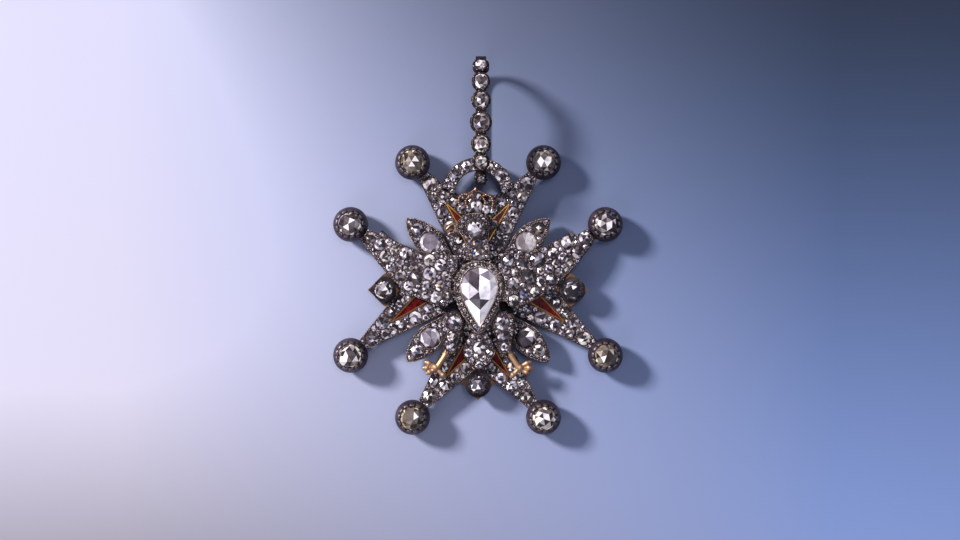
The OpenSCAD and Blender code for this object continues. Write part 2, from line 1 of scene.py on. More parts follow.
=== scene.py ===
"""Order badge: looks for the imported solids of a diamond-set Maltese cross with a crowned eagle.

The badge lies on its back on a pale surface. +Z is its face, +Y its top, and lengths are in metres.
Sizes in the classes below are in millimetres from the middle of the cross, unless they say otherwise.
"""

from __future__ import annotations

import json
import logging
import math
import random
from collections.abc import Iterable, Sequence
from dataclasses import dataclass, field
from enum import Enum

import bmesh
import bpy
import numpy as np
from mathutils import Matrix, Vector
from mathutils.bvhtree import BVHTree
from mathutils.kdtree import KDTree

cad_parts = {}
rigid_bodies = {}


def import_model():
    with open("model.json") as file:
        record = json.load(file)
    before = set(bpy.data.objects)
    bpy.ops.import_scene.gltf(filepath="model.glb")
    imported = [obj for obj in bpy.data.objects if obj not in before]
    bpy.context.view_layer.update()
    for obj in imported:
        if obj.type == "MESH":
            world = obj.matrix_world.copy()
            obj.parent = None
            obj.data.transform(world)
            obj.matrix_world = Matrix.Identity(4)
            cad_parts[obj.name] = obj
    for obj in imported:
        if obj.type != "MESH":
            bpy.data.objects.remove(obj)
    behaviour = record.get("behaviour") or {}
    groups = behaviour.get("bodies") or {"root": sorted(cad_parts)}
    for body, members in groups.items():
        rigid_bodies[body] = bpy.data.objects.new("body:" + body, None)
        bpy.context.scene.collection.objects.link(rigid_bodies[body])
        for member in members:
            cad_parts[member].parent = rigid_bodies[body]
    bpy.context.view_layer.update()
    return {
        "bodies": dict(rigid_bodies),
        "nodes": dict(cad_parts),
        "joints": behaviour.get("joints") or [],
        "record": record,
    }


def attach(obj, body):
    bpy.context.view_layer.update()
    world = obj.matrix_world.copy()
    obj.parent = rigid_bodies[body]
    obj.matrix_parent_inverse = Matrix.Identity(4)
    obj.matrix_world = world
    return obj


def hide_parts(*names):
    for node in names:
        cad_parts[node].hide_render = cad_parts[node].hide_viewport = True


Colour = tuple[float, float, float]
Spot = tuple[float, float]
Disc = tuple[float, float, float]
Shape = bmesh.types.BMesh
Mesh = bpy.types.Mesh
Material = bpy.types.Material
Node = bpy.types.Object
Cut = tuple[float, float, float, float]

LOG = logging.getLogger("order_badge")
MM = 0.001
ROW_SHIFT = -11.95
MERGE = 2e-6
UP = Vector((0.0, 0.0, 1.0))
BADGE = "badge"
HOOP = "ribbon_hoop"
SILVER = "oxidised_silver"
ARMS = ("top", "left", "bottom", "right")
DIAGONALS = ("upper_left", "lower_left", "lower_right", "upper_right")
# Hollows between the eagle's parts, as x, y and radius in millimetres. Shade is painted near black there on
# the old silver, and the plate's chips and grains and all edge beads are left out there.
HOLLOWS: tuple[Disc, ...] = (
    (-7.0, -4.4, 1.5), (-8.8, -5.2, 1.0), (-10.2, -5.7, 0.7), (7.2, -4.2, 1.5), (9.2, -5.4, 1.2),
    (11.2, -6.7, 1.0), (12.9, -7.9, 0.8), (-2.6, -11.2, 0.8), (-3.3, -12.8, 0.8), (-4.0, -14.4, 0.7),
    (3.3, -11.2, 0.8), (3.9, -12.8, 0.8), (4.4, -14.2, 0.7), (-3.9, 24.7, 0.9), (-2.7, 24.3, 0.9),
    (1.1, 24.4, 0.9), (2.7, 24.8, 0.9),
)


def place(x: float, y: float, z: float) -> Vector:
    """Point in metres, from millimetres off the cross's middle."""
    return Vector((x * MM, (y + ROW_SHIFT) * MM, z * MM))


def polar(reach: float, angle: float, height: float = 0.0) -> Vector:
    """Point at a distance and an angle from an upright axis."""
    return Vector((reach * math.cos(angle), reach * math.sin(angle), height))


def stretch(start: Vector, stop: Vector, step: float) -> list[Vector]:
    """Points from one place to just before another, at most a step in millimetres apart."""
    count = max(1, math.ceil((stop - start).length / (step * MM)))
    return [start.lerp(stop, index / count) for index in range(count)]


def search_tree(points: Sequence[Vector]) -> KDTree:
    """Tree that finds the nearest of some points.

    Args:
        points: The points.

    Returns:
        The balanced tree.
    """
    tree = KDTree(len(points))
    for index, point in enumerate(points):
        tree.insert(point, index)
    tree.balance()
    return tree


# Node trees


class Wire:
    """An output of a node, which takes arithmetic."""

    def __init__(self, tree: Tree, socket: bpy.types.NodeSocket) -> None:
        """Keeps the tree and the output socket."""
        self.tree = tree
        self.socket = socket

    def maths(self, operation: str, *values: Wire | float) -> Wire:
        """Result of a Math node on some operands."""
        return self.tree.node("ShaderNodeMath", {"operation": operation}, dict(enumerate(values)))

    def __add__(self, other: Wire | float) -> Wire:
        """Sum."""
        return self.maths("ADD", self, other)

    def __radd__(self, other: float) -> Wire:
        """Sum with a number on the left."""
        return self.maths("ADD", other, self)

    def __sub__(self, other: Wire | float) -> Wire:
        """Difference."""
        return self.maths("SUBTRACT", self, other)

    def __rsub__(self, other: float) -> Wire:
        """Difference from a number."""
        return self.maths("SUBTRACT", other, self)

    def __mul__(self, other: Wire | float) -> Wire:
        """Product."""
        return self.maths("MULTIPLY", self, other)

    def __rmul__(self, other: float) -> Wire:
        """Product with a number on the left."""
        return self.maths("MULTIPLY", other, self)

    def least(self, other: Wire | float) -> Wire:
        """The smaller of this and another."""
        return self.maths("MINIMUM", self, other)

    def most(self, other: Wire | float) -> Wire:
        """The larger of this and another."""
        return self.maths("MAXIMUM", self, other)

    def step(self, low: float, high: float) -> Wire:
        """Smooth step from 0 at low to 1 at high."""
        settings = {"interpolation_type": "SMOOTHSTEP"}
        return self.tree.node("ShaderNodeMapRange", settings, {0: self, 1: low, 2: high})


class Tree:
    """A shader or geometry tree that nodes are added to."""

    def __init__(self, tree: bpy.types.NodeTree) -> None:
        """Keeps the tree."""
        self.tree = tree

    def node(
        self, kind: str, settings: dict[str, object] | None = None,
        values: dict[int | str, object] | None = None, out: int | str = 0,
    ) -> Wire:
        """Adds a node.

        Args:
            kind: The node's type.
            settings: Its properties, which are set first. "stops" holds a ramp's stops.
            values: Values or wires of its inputs, by number or name.
            out: The output to return.

        Returns:
            That output.
        """
        made = self.tree.nodes.new(kind)
        for name, value in (settings or {}).items():
            if name == "stops":
                self.stops(made.color_ramp, value)
            else:
                setattr(made, name, value)
        for key, value in (values or {}).items():
            self.feed(made.inputs[key], value)
        return Wire(self, made.outputs[out])

    def feed(self, socket: bpy.types.NodeSocket, value: object) -> None:
        """Links a wire to an input, or sets its constant.

        Args:
            socket: The input.
            value: The wire or the constant.
        """
        if isinstance(value, Wire):
            self.tree.links.new(value.socket, socket)
        else:
            socket.default_value = value

    @staticmethod
    def stops(ramp: bpy.types.ColorRamp, stops: Sequence[tuple[float, Colour]]) -> None:
        """Sets a ramp's stops.

        Args:
            ramp: The ramp.
            stops: Positions with their colours, in order.
        """
        while len(ramp.elements) < len(stops):
            ramp.elements.new(1.0)
        for element, (position, colour) in zip(ramp.elements, stops):
            element.position = position
            element.color = (*colour, 1.0)

    def mix(self, factor: Wire | float, low: Wire | Colour, high: Wire | Colour, blend: str = "MIX") -> Wire:
        """Mixes two colours.

        Args:
            factor: Share of the second.
            low: The first colour.
            high: The second colour.
            blend: How they mix.

        Returns:
            The mixed colour.
        """
        low, high = (side if isinstance(side, Wire) else (*side, 1.0) for side in (low, high))
        settings = {"data_type": "RGBA", "blend_type": blend}
        return self.node("ShaderNodeMix", settings, {0: factor, 6: low, 7: high}, 2)

    def where(self) -> Wire:
        """Object coordinates."""
        return self.node("ShaderNodeTexCoord", out="Object")

    def facing_up(self) -> Wire:
        """How far the surface faces up, from -1 to 1."""
        return self.axis(self.node("ShaderNodeTexCoord", out="Normal"), "Z")

    def axis(self, vector: Wire, name: str) -> Wire:
        """One axis of a vector."""
        return self.node("ShaderNodeSeparateXYZ", None, {0: vector}, name)

    def noise(self, scale: float, detail: float = 3.0, rough: float = 0.55) -> Wire:
        """Noise from 0 to 1, by its cells per metre, its octaves and the share of the finer ones."""
        values = {"Vector": self.where(), "Scale": scale, "Detail": detail, "Roughness": rough}
        return self.node("ShaderNodeTexNoise", {"noise_dimensions": "3D"}, values)

    def bump(self, height: Wire, depth: float, strength: float) -> Wire:
        """Normal of a height from 0 to 1 that is so many metres deep."""
        return self.node("ShaderNodeBump", None, {"Height": height, "Distance": depth, "Strength": strength})


# Finishes


@dataclass(frozen=True)
class Finish:
    """A named material with a Principled shader."""

    name: str

    def make(self) -> Material:
        """Makes the material.

        Returns:
            The material with this finish.
        """
        material = bpy.data.materials.new(self.name)
        material.use_nodes = True
        tree = Tree(material.node_tree)
        shader = material.node_tree.nodes["Principled BSDF"]
        for label, value in self.dress(tree).items():
            tree.feed(shader.inputs[label], value)
        return material

    def dress(self, tree: Tree) -> dict[str, Wire | float]:
        """Wires and constants of the shader's inputs."""
        raise NotImplementedError


@dataclass(frozen=True)
class SilverFinish(Finish):
    """Old silver, darker on its sides and lighter where it faces up, with painted shade near black in the
    hollows that it is given.
    """

    dark: Colour = (0.03, 0.018, 0.019)
    worn: Colour = (0.24, 0.16, 0.15)
    lighter_facing_up: float = 0.12
    grain: float = 1500.0
    patches: float = 260.0
    hollows: tuple[Disc, ...] = ()
    painted_shade_colour: Colour = (0.004, 0.0015, 0.002)

    def dress(self, tree: Tree) -> dict[str, Wire | float]:
        """Adds random tarnish and wear, a lighter tone where it faces up, small tool marks and the painted
        shade of its hollows.

        Args:
            tree: The material's tree.

        Returns:
            Wires and constants of the shader's inputs.
        """
        up = tree.facing_up()
        fine = tree.noise(self.grain, 4.0, 0.65)
        patch = tree.noise(self.patches, 2.0)
        wear = up.step(0.1, 1.0) * self.lighter_facing_up + (fine - 0.5) * 1.5 + (patch - 0.5) * 0.9
        mask = wear.step(0.0, 1.0)
        silver = tree.mix(mask, self.dark, self.worn)
        # Painted shade: the hollows are painted near black, where shade falls between the eagle's parts.
        if self.hollows:
            silver = tree.mix(self.painted_shade_mask(tree), silver, self.painted_shade_colour)
        bump = tree.bump(fine, 0.00012, 0.55)
        return {"Base Color": silver, "Metallic": 0.75, "Roughness": 0.52 - mask * 0.2, "Normal": bump}

    def painted_shade_mask(self, tree: Tree) -> Wire:
        """Mask of the painted shade in the deep hollows.

        Args:
            tree: The material's tree.

        Returns:
            The mask.
        """
        flat = {0: tree.where(), 1: (1.0, 1.0, 0.0)}
        flat = tree.node("ShaderNodeVectorMath", {"operation": "MULTIPLY"}, flat)
        shares = []
        for x, y, radius in self.hollows:
            spot = (*place(x, y, 0.0).xy, 0.0)
            away = tree.node("ShaderNodeVectorMath", {"operation": "DISTANCE"}, {0: flat, 1: spot}, "Value")
            shares.append(1.0 - away.step(radius * 0.8 * MM, radius * 1.35 * MM))
        painted_shade_mask = shares[0]
        for share in shares[1:]:
            painted_shade_mask = painted_shade_mask.most(share)
        return painted_shade_mask


@dataclass(frozen=True)
class GoldFinish(Finish):
    """Gold of one colour, darker where it faces sideways or down."""

    bright: Colour = (0.80, 0.45, 0.14)
    deep: Colour = (0.28, 0.11, 0.03)
    smooth: float = 0.26
    clouds: float = 900.0

    def dress(self, tree: Tree) -> dict[str, Wire | float]:
        """Adds soft clouds of grime and wear, and darkens the gold where it faces sideways or down.

        Args:
            tree: The material's tree.

        Returns:
            Wires and constants of the shader's inputs.
        """
        up = tree.facing_up()
        cloud = tree.noise(self.clouds)
        mask = (up.step(-0.2, 0.8) * 0.75 + (cloud - 0.4) * 0.9).step(0.0, 0.9)
        return {
            "Base Color": tree.mix(mask, self.deep, self.bright), "Metallic": 0.85,
            "Roughness": self.smooth + cloud * 0.2, "Normal": tree.bump(cloud, 0.0001, 0.35),
        }


@dataclass(frozen=True)
class EnamelFinish(Finish):
    """Deep red enamel over tool marks that show through it."""

    light: Colour = (0.22, 0.006, 0.009)
    deep: Colour = (0.035, 0.0015, 0.003)
    clouds: float = 420.0
    streaks: float = 1700.0

    def dress(self, tree: Tree) -> dict[str, Wire | float]:
        """Adds clouds and streaks under a clear coat.

        Args:
            tree: The material's tree.

        Returns:
            Wires and constants of the shader's inputs.
        """
        cloud = tree.noise(self.clouds, 3.0)
        streak = tree.noise(self.streaks, 2.0)
        mask = (cloud * 0.75 + streak * 0.45).step(0.42, 0.82)
        return {
            "Base Color": tree.mix(mask, self.deep, self.light), "Roughness": 0.14,
            "Specular IOR Level": 0.25, "Coat Weight": 0.15, "Coat Roughness": 0.1,
            "Normal": tree.bump(streak, 0.00005, 0.3),
        }


@dataclass(frozen=True)
class DiamondFinish(Finish):
    """Closed-set diamond with painted light: each facet has a painted tone of reflected light, a few have
    painted flashes of blue or amber, and the bright facets glow.
    """

    depth: float = 0.32
    painted_glow_strength: float = 0.24
    tint: Colour = (0.97, 0.87, 0.38)
    cells: float = 700.0
    stops: tuple[tuple[float, Colour], ...] = (
        (0.0, (0.012, 0.009, 0.011)),
        (0.25, (0.052, 0.038, 0.049)),
        (0.45, (0.168, 0.129, 0.158)),
        (0.62, (0.34, 0.292, 0.365)),
        (0.80, (0.70, 0.635, 0.745)),
        (0.90, (0.99, 0.925, 0.97)),
        (0.95, (0.03, 0.10, 0.55)),
        (1.0, (0.75, 0.36, 0.08)),
    )

    def dress(self, tree: Tree) -> dict[str, Wire | float]:
        """Reads the facets' painted tones and the stones' tints, and paints a glow on the bright facets.

        Args:
            tree: The material's tree.

        Returns:
            Wires and constants of the shader's inputs.
        """
        charted, warmth = (
            tree.node("ShaderNodeAttribute", {"attribute_name": name}, None, "Fac")
            for name in ("tone", "warmth")
        )
        uneven = charted + (tree.noise(self.cells, 2.0, 0.5) - 0.5) * self.depth
        calm = uneven.least(0.9)
        fire = charted.step(0.92, 0.94)
        tone = calm * (1.0 - fire) + charted * fire
        grey = tree.node("ShaderNodeValToRGB", {"stops": self.stops}, {"Fac": tone})
        tinted = tree.mix(warmth, grey, self.tint, "MULTIPLY")
        # Painted glow: the bright facets give off light of their own, though they are no lamp.
        glow = tree.mix(tone.step(0.6, 0.9), (0.0, 0.0, 0.0), tinted)
        return {
            "Base Color": tinted, "Roughness": 0.08, "IOR": 1.8, "Emission Color": glow,
            "Emission Strength": self.painted_glow_strength,
        }


@dataclass(frozen=True)
class SurfaceFinish(Finish):
    """Pale lilac paper with a painted pool of light, lightest at its left, and painted shade falling off to
    blue-grey at its upper right.
    """

    painted_light_falloff: tuple[float, ...] = (-0.597, -0.625, -0.598, 0.042, -0.796, -1.019)
    red_share: tuple[float, float, float] = (0.576, -0.265, -0.07)
    green_share: tuple[float, float, float] = (0.64, -0.164, -0.038)

    def dress(self, tree: Tree) -> dict[str, Wire | float]:
        """Paints the fall-off of light over the paper, with places counted in tenths of a metre.

        Args:
            tree: The material's tree.

        Returns:
            Wires and constants of the shader's inputs.
        """
        where = tree.where()
        x, y = (tree.axis(where, axis) * 10.0 for axis in "XY")
        x, y = (side.least(1.0).most(-1.0) for side in (x, y))
        level, a, b, aa, bb, ab = self.painted_light_falloff
        rise = x * a + y * b + x * x * aa + y * y * bb + x * y * ab + level
        blue = rise.maths("EXPONENT", rise).least(0.8)
        shares = (self.red_share, self.green_share)
        red, green = (blue * (x * along + y * up + base) for base, along, up in shares)
        colour = tree.node("ShaderNodeCombineColor", None, {0: red, 1: green, 2: blue})
        return {"Base Color": colour, "Roughness": 0.85}


class Finishes:
    """Every material of the badge, made once."""

    def __init__(self) -> None:
        """Makes the materials."""
        self.silver = SilverFinish("old_silver", hollows=HOLLOWS).make()
        self.grains, self.bezels, self.collets, self.domes = (
            SilverFinish(*sizes).make() for sizes in (
                ("rubbed_grains", (0.07, 0.042, 0.038), (0.70, 0.53, 0.48), 0.85),
                ("worn_bezels", (0.024, 0.012, 0.015), (0.60, 0.40, 0.375), 0.27, 2200.0),
                ("dark_collets", (0.012, 0.008, 0.012), (0.115, 0.092, 0.115), 0.25, 700.0),
                ("ball_collets", (0.065, 0.044, 0.056), (0.25, 0.193, 0.228), 0.68, 600.0),
            )
        )
        self.red_gold = GoldFinish("red_gold", (0.42, 0.235, 0.165), (0.08, 0.035, 0.028)).make()
        self.foot_gold = GoldFinish("foot_gold", (0.66, 0.385, 0.225), (0.26, 0.125, 0.07), 0.4).make()
        self.beak_gold = GoldFinish("beak_gold", (0.31, 0.18, 0.125), (0.06, 0.03, 0.025)).make()
        self.gold_edge = GoldFinish("gold_edge", (0.52, 0.25, 0.055), smooth=0.3).make()
        self.worn_edge = GoldFinish("worn_edge", (0.32, 0.14, 0.04), (0.10, 0.035, 0.012), 0.34).make()
        self.gilt = GoldFinish("worn_gilding", (0.22, 0.10, 0.045), (0.05, 0.02, 0.015)).make()
        self.enamel = EnamelFinish("red_enamel").make()
        self.diamond = DiamondFinish("diamond").make()
        self.large_diamond = DiamondFinish("large_diamond", depth=0.22, painted_glow_strength=0.42).make()
        self.surface = SurfaceFinish("paper").make()


# Meshes


def make_object(name: str, mesh: Mesh, material: Material) -> Node:
    """Object at the origin with one material.

    Args:
        name: The piece's name.
        mesh: Its mesh.
        material: Its material.

    Returns:
        The linked object.
    """
    mesh.name = name
    made = bpy.data.objects.new(name, mesh)
    bpy.context.scene.collection.objects.link(made)
    mesh.materials.clear()
    mesh.materials.append(material)
    return made


def from_bmesh(name: str, shape: Shape, material: Material, smooth: bool = False) -> Node:
    """Object from a bmesh, which is freed.

    Args:
        name: The piece's name.
        shape: Its shape.
        material: Its material.
        smooth: Whether it is shaded smooth.

    Returns:
        The linked object.
    """
    mesh = bpy.data.meshes.new(name)
    shape.to_mesh(mesh)
    shape.free()
    if smooth:
        mesh.polygons.foreach_set("use_smooth", [True] * len(mesh.polygons))
    return make_object(name, mesh, material)


def baked(carrier: Node) -> Mesh:
    """Plain mesh of an object with its modifiers.

    Args:
        carrier: The object.

    Returns:
        A new mesh.
    """
    graph = bpy.context.evaluated_depsgraph_get()
    graph.update()
    return bpy.data.meshes.new_from_object(carrier.evaluated_get(graph))


def settle(piece: Node, body: str, slot: str, nodes: Sequence[str] = ()) -> None:
    """Hands a finished piece to its body.

    Args:
        piece: The piece.
        body: The body that it moves with.
        slot: The record's slot of its finish, which is not used.
        nodes: The solids that it stands for.
    """
    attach(piece, body)
    if nodes:
        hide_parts(*nodes)
    LOG.info("%s: %d faces on %s", piece.name, len(piece.data.polygons), body)


def merged(nodes: Iterable[Node]) -> Shape:
    """Joined shape of some solids, with their loose triangles merged.

    Args:
        nodes: The solids.

    Returns:
        A new bmesh.
    """
    shape = bmesh.new()
    for node in nodes:
        shape.from_mesh(node.data)
    bmesh.ops.remove_doubles(shape, verts=shape.verts, dist=MERGE)
    return shape


def skin(shape: Shape, rings: Sequence[Sequence[Vector]]) -> None:
    """Joins closed rings of points into a closed band, the last ring to the first.

    Args:
        shape: Takes the corners and faces.
        rings: The rings, of one length.
    """
    made = [[shape.verts.new(point) for point in ring] for ring in rings]
    for here, after in zip(made, made[1:] + made[:1]):
        for step in range(len(here)):
            following = (step + 1) % len(here)
            shape.faces.new((here[step], after[step], after[following], here[following]))


# Stones


class Tones(Enum):
    """Kinds of light in a stone: shares of dark, grey, light, white, blue and amber facets."""

    LIVELY = (0.36, 0.29, 0.20, 0.135, 0.009, 0.006)
    DARK = (0.60, 0.22, 0.08, 0.10, 0.0, 0.0)
    BRIGHT = (0.22, 0.28, 0.28, 0.21, 0.005, 0.005)
    WHITE = (0.16, 0.16, 0.26, 0.42, 0.0, 0.0)
    SOFT = (0.22, 0.44, 0.22, 0.11, 0.005, 0.005)
    CALM = (0.35, 0.57, 0.08, 0.0, 0.0, 0.0)
    CHIPS = (0.66, 0.20, 0.09, 0.05, 0.0, 0.0)

    def pick(self, rng: random.Random, top: float = 1.0) -> float:
        """Tone of one facet.

        Args:
            rng: The draw.
            top: The highest tone allowed.

        Returns:
            The tone, which the diamond finish reads.
        """
        ranges = ((0.03, 0.28), (0.34, 0.55), (0.58, 0.74), (0.8, 0.9), (0.95, 0.95), (1.0, 1.0))
        low, high = rng.choices(ranges, weights=self.value)[0]
        return min(rng.uniform(low, high), top)


# Highest tone of a facet that is neither blue nor amber.
PLAIN = 0.9


@dataclass(frozen=True)
class RoseStone:
    """A large rose cut: node, tint, turn in degrees, tones of its star, light round it and at its rim."""

    node: str
    warmth: float
    turn: float
    star: tuple[float, ...]
    kind: Tones = Tones.SOFT
    rim: Tones = Tones.SOFT


@dataclass(frozen=True)
class TableStone:
    """A large table cut: node, painted tones of light of its table's triangles and of its sides, tint and
    turn.
    """

    node: str
    chart: tuple[float, ...]
    bevels: tuple[float, ...]
    warmth: float
    turn: float


@dataclass(frozen=True)
class Seat:
    """Where a stone sits: the middle of its girdle, its outward direction and its radius, in metres."""

    # Steps in which two directions count as one, and share of the radius where a girdle starts.
    direction_steps = 40
    girdle_share = 0.985

    centre: Vector
    face: Vector
    radius: float

    def frame(self, turn: float, scale: float | None = None) -> Matrix:
        """Matrix from a stone of radius 1 to this seat.

        Args:
            turn: Turn about the outward direction.
            scale: Size of the stone's unit, where it isn't the seat's radius.

        Returns:
            The matrix.
        """
        across = Vector((1.0, 0.0, 0.0))
        side = (across - across.dot(self.face) * self.face).normalized()
        basis = Matrix((side, self.face.cross(side), self.face)).transposed().to_4x4()
        size = Matrix.Scale(self.radius if scale is None else scale, 4)
        return Matrix.Translation(self.centre) @ basis @ Matrix.Rotation(turn, 4, "Z") @ size

    @staticmethod
    def read(node: Node) -> list[Seat]:
        """Places of a node's stones.

        Args:
            node: The solid or field of solids.

        Returns:
            One seat for each stone, from the left.
        """
        shape = merged([node])
        seats = []
        seen: set[bmesh.types.BMFace] = set()
        for first in shape.faces:
            if first not in seen:
                seen.add(first)
                island, queue = [], [first]
                while queue:
                    face = queue.pop()
                    island.append(face)
                    found = [other for edge in face.edges for other in edge.link_faces if other not in seen]
                    found = list(dict.fromkeys(found))
                    seen.update(found)
                    queue += found
                seats.append(Seat.under(island))
        shape.free()
        return sorted(seats, key=lambda seat: (round(seat.centre.x, 5), round(seat.centre.y, 5)))

    @staticmethod
    def under(faces: list[bmesh.types.BMFace]) -> Seat:
        """Seat of one stone, which stands on its largest flat face.

        Args:
            faces: The stone's faces.

        Returns:
            Its seat.
        """
        areas: dict[tuple[int, ...], float] = {}
        normals: dict[tuple[int, ...], Vector] = {}
        for face in faces:
            face.normal_update()
            key = tuple(round(value * Seat.direction_steps) for value in face.normal)
            areas[key] = areas.get(key, 0.0) + face.calc_area()
            normals[key] = face.normal.copy()
        out = -normals[max(areas, key=areas.get)].normalized()
        points = list(dict.fromkeys(vert for face in faces for vert in face.verts))
        middle = sum((vert.co for vert in points), Vector()) / len(points)
        away = [vert.co - middle for vert in points]
        reach = [step - step.dot(out) * out for step in away]
        radius = max(flat.length for flat in reach)
        girdle = radius * Seat.girdle_share
        heights = [step.dot(out) for step, flat in zip(away, reach) if flat.length > girdle]
        return Seat(middle + sum(heights) / len(heights) * out, out, radius)


def side_facet(first: int, count: int, index: int) -> list[int]:
    """Facet from a ring of corners down to the next ring."""
    after = (index + 1) % count
    return [first + index, first + count + index, first + count + after, first + after]


def fan(first: int, count: int, index: int) -> list[list[int]]:
    """Facets from two corners of a ring down to the next ring, which has twice as many corners.

    Args:
        first: Number of the ring's first corner.
        count: How many corners it has.
        index: The first of the two.

    Returns:
        Three facets.
    """
    here, after = first + index, first + (index + 1) % count
    low, middle, high = (first + count + (2 * index + step) % (2 * count) for step in range(3))
    return [[here, middle, after], [here, low, middle], [after, middle, high]]


def back_facet(first: int, count: int) -> list[int]:
    """Flat back on a ring of corners."""
    return [first + count - 1 - index for index in range(count)]


class Facets:
    """Cut stones gathered into one mesh, with a painted tone of reflected light for each facet and a warmth
    for each stone.
    """

    # Shares of the radius: how far a top corner is off the middle, draws of a small star's radius and
    # turn, and the flat back.
    lean = 0.15
    spread = (0.8, 1.15)
    slack = 0.2
    back = 0.92
    # Share of facets that take their neighbour's tone, tones under the girdle and tones of flat backs.
    alike = 0.55
    side_tones = (0.2, 0.75)
    back_tone = 0.3
    star_back_tone = 0.4
    # Count, radius and slack of a large star's rings, and the tint of its bright and its other facets.
    star_lean = 0.12
    star_rings = ((6, 0.55, 0.12), (12, 0.82, 0.12), (24, 1.0, 0.0), (24, 0.92, 0.0))
    bright = 0.75
    bright_tint = 0.15
    other_tint = 0.6
    # Radius, height and shift by corners of a table's rings, and radius and height of a chip's.
    table_peak = (0.1, 0.28)
    table_rings = ((0.74, 0.26, 0.5), (1.0, 0.0, 0.0), (0.8, -0.3, 0.0))
    table_uneven = 0.96
    chip_rings = ((0.5, 0.42), (1.0, 0.02), (0.95, -0.3))
    chip_change = 0.25
    chip_side_tone = 0.2

    def __init__(self, seed: int) -> None:
        """Starts an empty gathering.

        Args:
            seed: Seed of its draws.
        """
        self.rng = random.Random(seed)
        self.points: list[Vector] = []
        self.faces: list[list[int]] = []
        self.tones: list[float] = []
        self.warmths: list[float] = []

    def add(
        self, frame: Matrix, points: Sequence[Vector], faces: Sequence[Sequence[int]], tones: Sequence[float],
        warmth: float | Sequence[float],
    ) -> None:
        """Adds one stone.

        Args:
            frame: Matrix from the stone to the row.
            points: Its corners.
            faces: Its facets, counted from 0.
            tones: A tone for each facet.
            warmth: Its tint, or one for each facet.
        """
        first = len(self.points)
        self.points += [frame @ point for point in points]
        self.faces += [[first + index for index in face] for face in faces]
        self.tones += tones
        self.warmths += [warmth] * len(faces) if isinstance(warmth, float) else warmth

    def peak(self, slack: float, height: float) -> Vector:
        """Top corner of a stone, a little off its middle."""
        return Vector((self.rng.uniform(-slack, slack), self.rng.uniform(-slack, slack), height))

    def rose(
        self, seat: Seat, turn: float, reaches: Sequence[float], kind: Tones, rim_kind: Tones, warmth: float,
        cut: Cut,
    ) -> None:
        """Adds a rose cut of 24 facets.

        Args:
            seat: Its seat.
            turn: Its turn.
            reaches: How far its girdle goes in twelve directions.
            kind: Its light.
            rim_kind: Light of the facets round its star.
            warmth: Its tint.
            cut: Heights of its point and star, the star's radius and the height of its flat back, as
                shares of its radius.
        """
        rng = self.rng
        rise, shoulder, star, base = cut
        points = [self.peak(self.lean, rise)]
        for index in range(6):
            wide = star * rng.uniform(*self.spread) * reaches[2 * index]
            points.append(polar(wide, (index + rng.uniform(-self.slack, self.slack)) * math.pi / 3, shoulder))
        for radius, height in ((1.0, 0.0), (self.back, base)):
            for index, reach in enumerate(reaches):
                rng.random()  # The girdle is left even, but its draws keep the later ones in their order.
                points.append(polar(radius * reach, index * math.pi / 6, height))
        faces: list[list[int]] = []
        tones: list[float] = []
        for index in range(6):
            faces += [[0, 1 + index, 1 + (index + 1) % 6], *fan(1, 6, index)]
            side = rim_kind.pick(rng, PLAIN)
            tones.append(kind.pick(rng))
            tones += [side if rng.random() < self.alike else rim_kind.pick(rng) for _ in range(3)]
        faces += [side_facet(7, 12, index) for index in range(12)] + [back_facet(19, 12)]
        tones += [rng.uniform(*self.side_tones) for _ in range(12)] + [self.back_tone]
        self.add(seat.frame(turn), points, faces, tones, warmth)

    def star(self, seat: Seat, stone: RoseStone, rises: Sequence[float]) -> None:
        """Adds a large rose cut with a charted star and two rings of small facets.

        Args:
            seat: Its seat.
            stone: Its chart.
            rises: Heights of its point, star, middle ring, girdle and flat back.
        """
        rng = self.rng
        points = [self.peak(self.star_lean, rises[0])]
        for (count, wide, slack), rise in zip(self.star_rings, rises[1:]):
            for index in range(count):
                reach = wide * (1.0 + rng.uniform(-slack, slack))
                points.append(polar(reach, (index + rng.uniform(-slack, slack)) * math.tau / count, rise))
        faces = [[0, 1 + index, 1 + (index + 1) % 6] for index in range(6)]
        tones = list(stone.star)
        tints = [self.bright_tint if tone > self.bright else self.other_tint for tone in tones]
        warmths = [stone.warmth * tint for tint in tints]
        for first, count, kind, share, top in ((1, 6, stone.kind, 0.7, PLAIN), (7, 12, stone.rim, 1.0, 1.0)):
            for index in range(count):
                faces += fan(first, count, index)
                tones += [kind.pick(rng, top) for _ in range(3)]
                warmths += [stone.warmth * share * rng.uniform(0.6, 1.0) for _ in range(3)]
        faces += [side_facet(19, 24, index) for index in range(24)] + [back_facet(43, 24)]
        tones += [self.star_back_tone] * 25
        self.add(seat.frame(math.radians(stone.turn)), points, faces, tones, warmths + [stone.warmth] * 25)

    def table(self, seat: Seat, stone: TableStone) -> None:
        """Adds a table cut.

        Args:
            seat: Its seat.
            stone: Its chart.
        """
        points = [self.peak(*self.table_peak)]
        count = len(stone.chart)
        for radius, level, shift in self.table_rings:
            for index in range(count):
                reach = radius * self.rng.uniform(self.table_uneven, 1.0)
                points.append(polar(reach, (index + shift) * math.tau / count, level))
        faces: list[list[int]] = []
        tones: list[float] = []
        for index in range(count):
            after = (index + 1) % count
            top, low, low_after = 1 + index, 1 + count + index, 1 + count + after
            faces += [[0, top, 1 + after], [top, low_after, 1 + after], [top, low, low_after]]
            faces.append(side_facet(1 + count, count, index))
            tones += [stone.chart[index], stone.bevels[index], stone.bevels[index] - 0.08, 0.4]
        faces.append(back_facet(1 + 2 * count, count))
        self.add(seat.frame(stone.turn), points, faces, tones + [self.back_tone], stone.warmth)

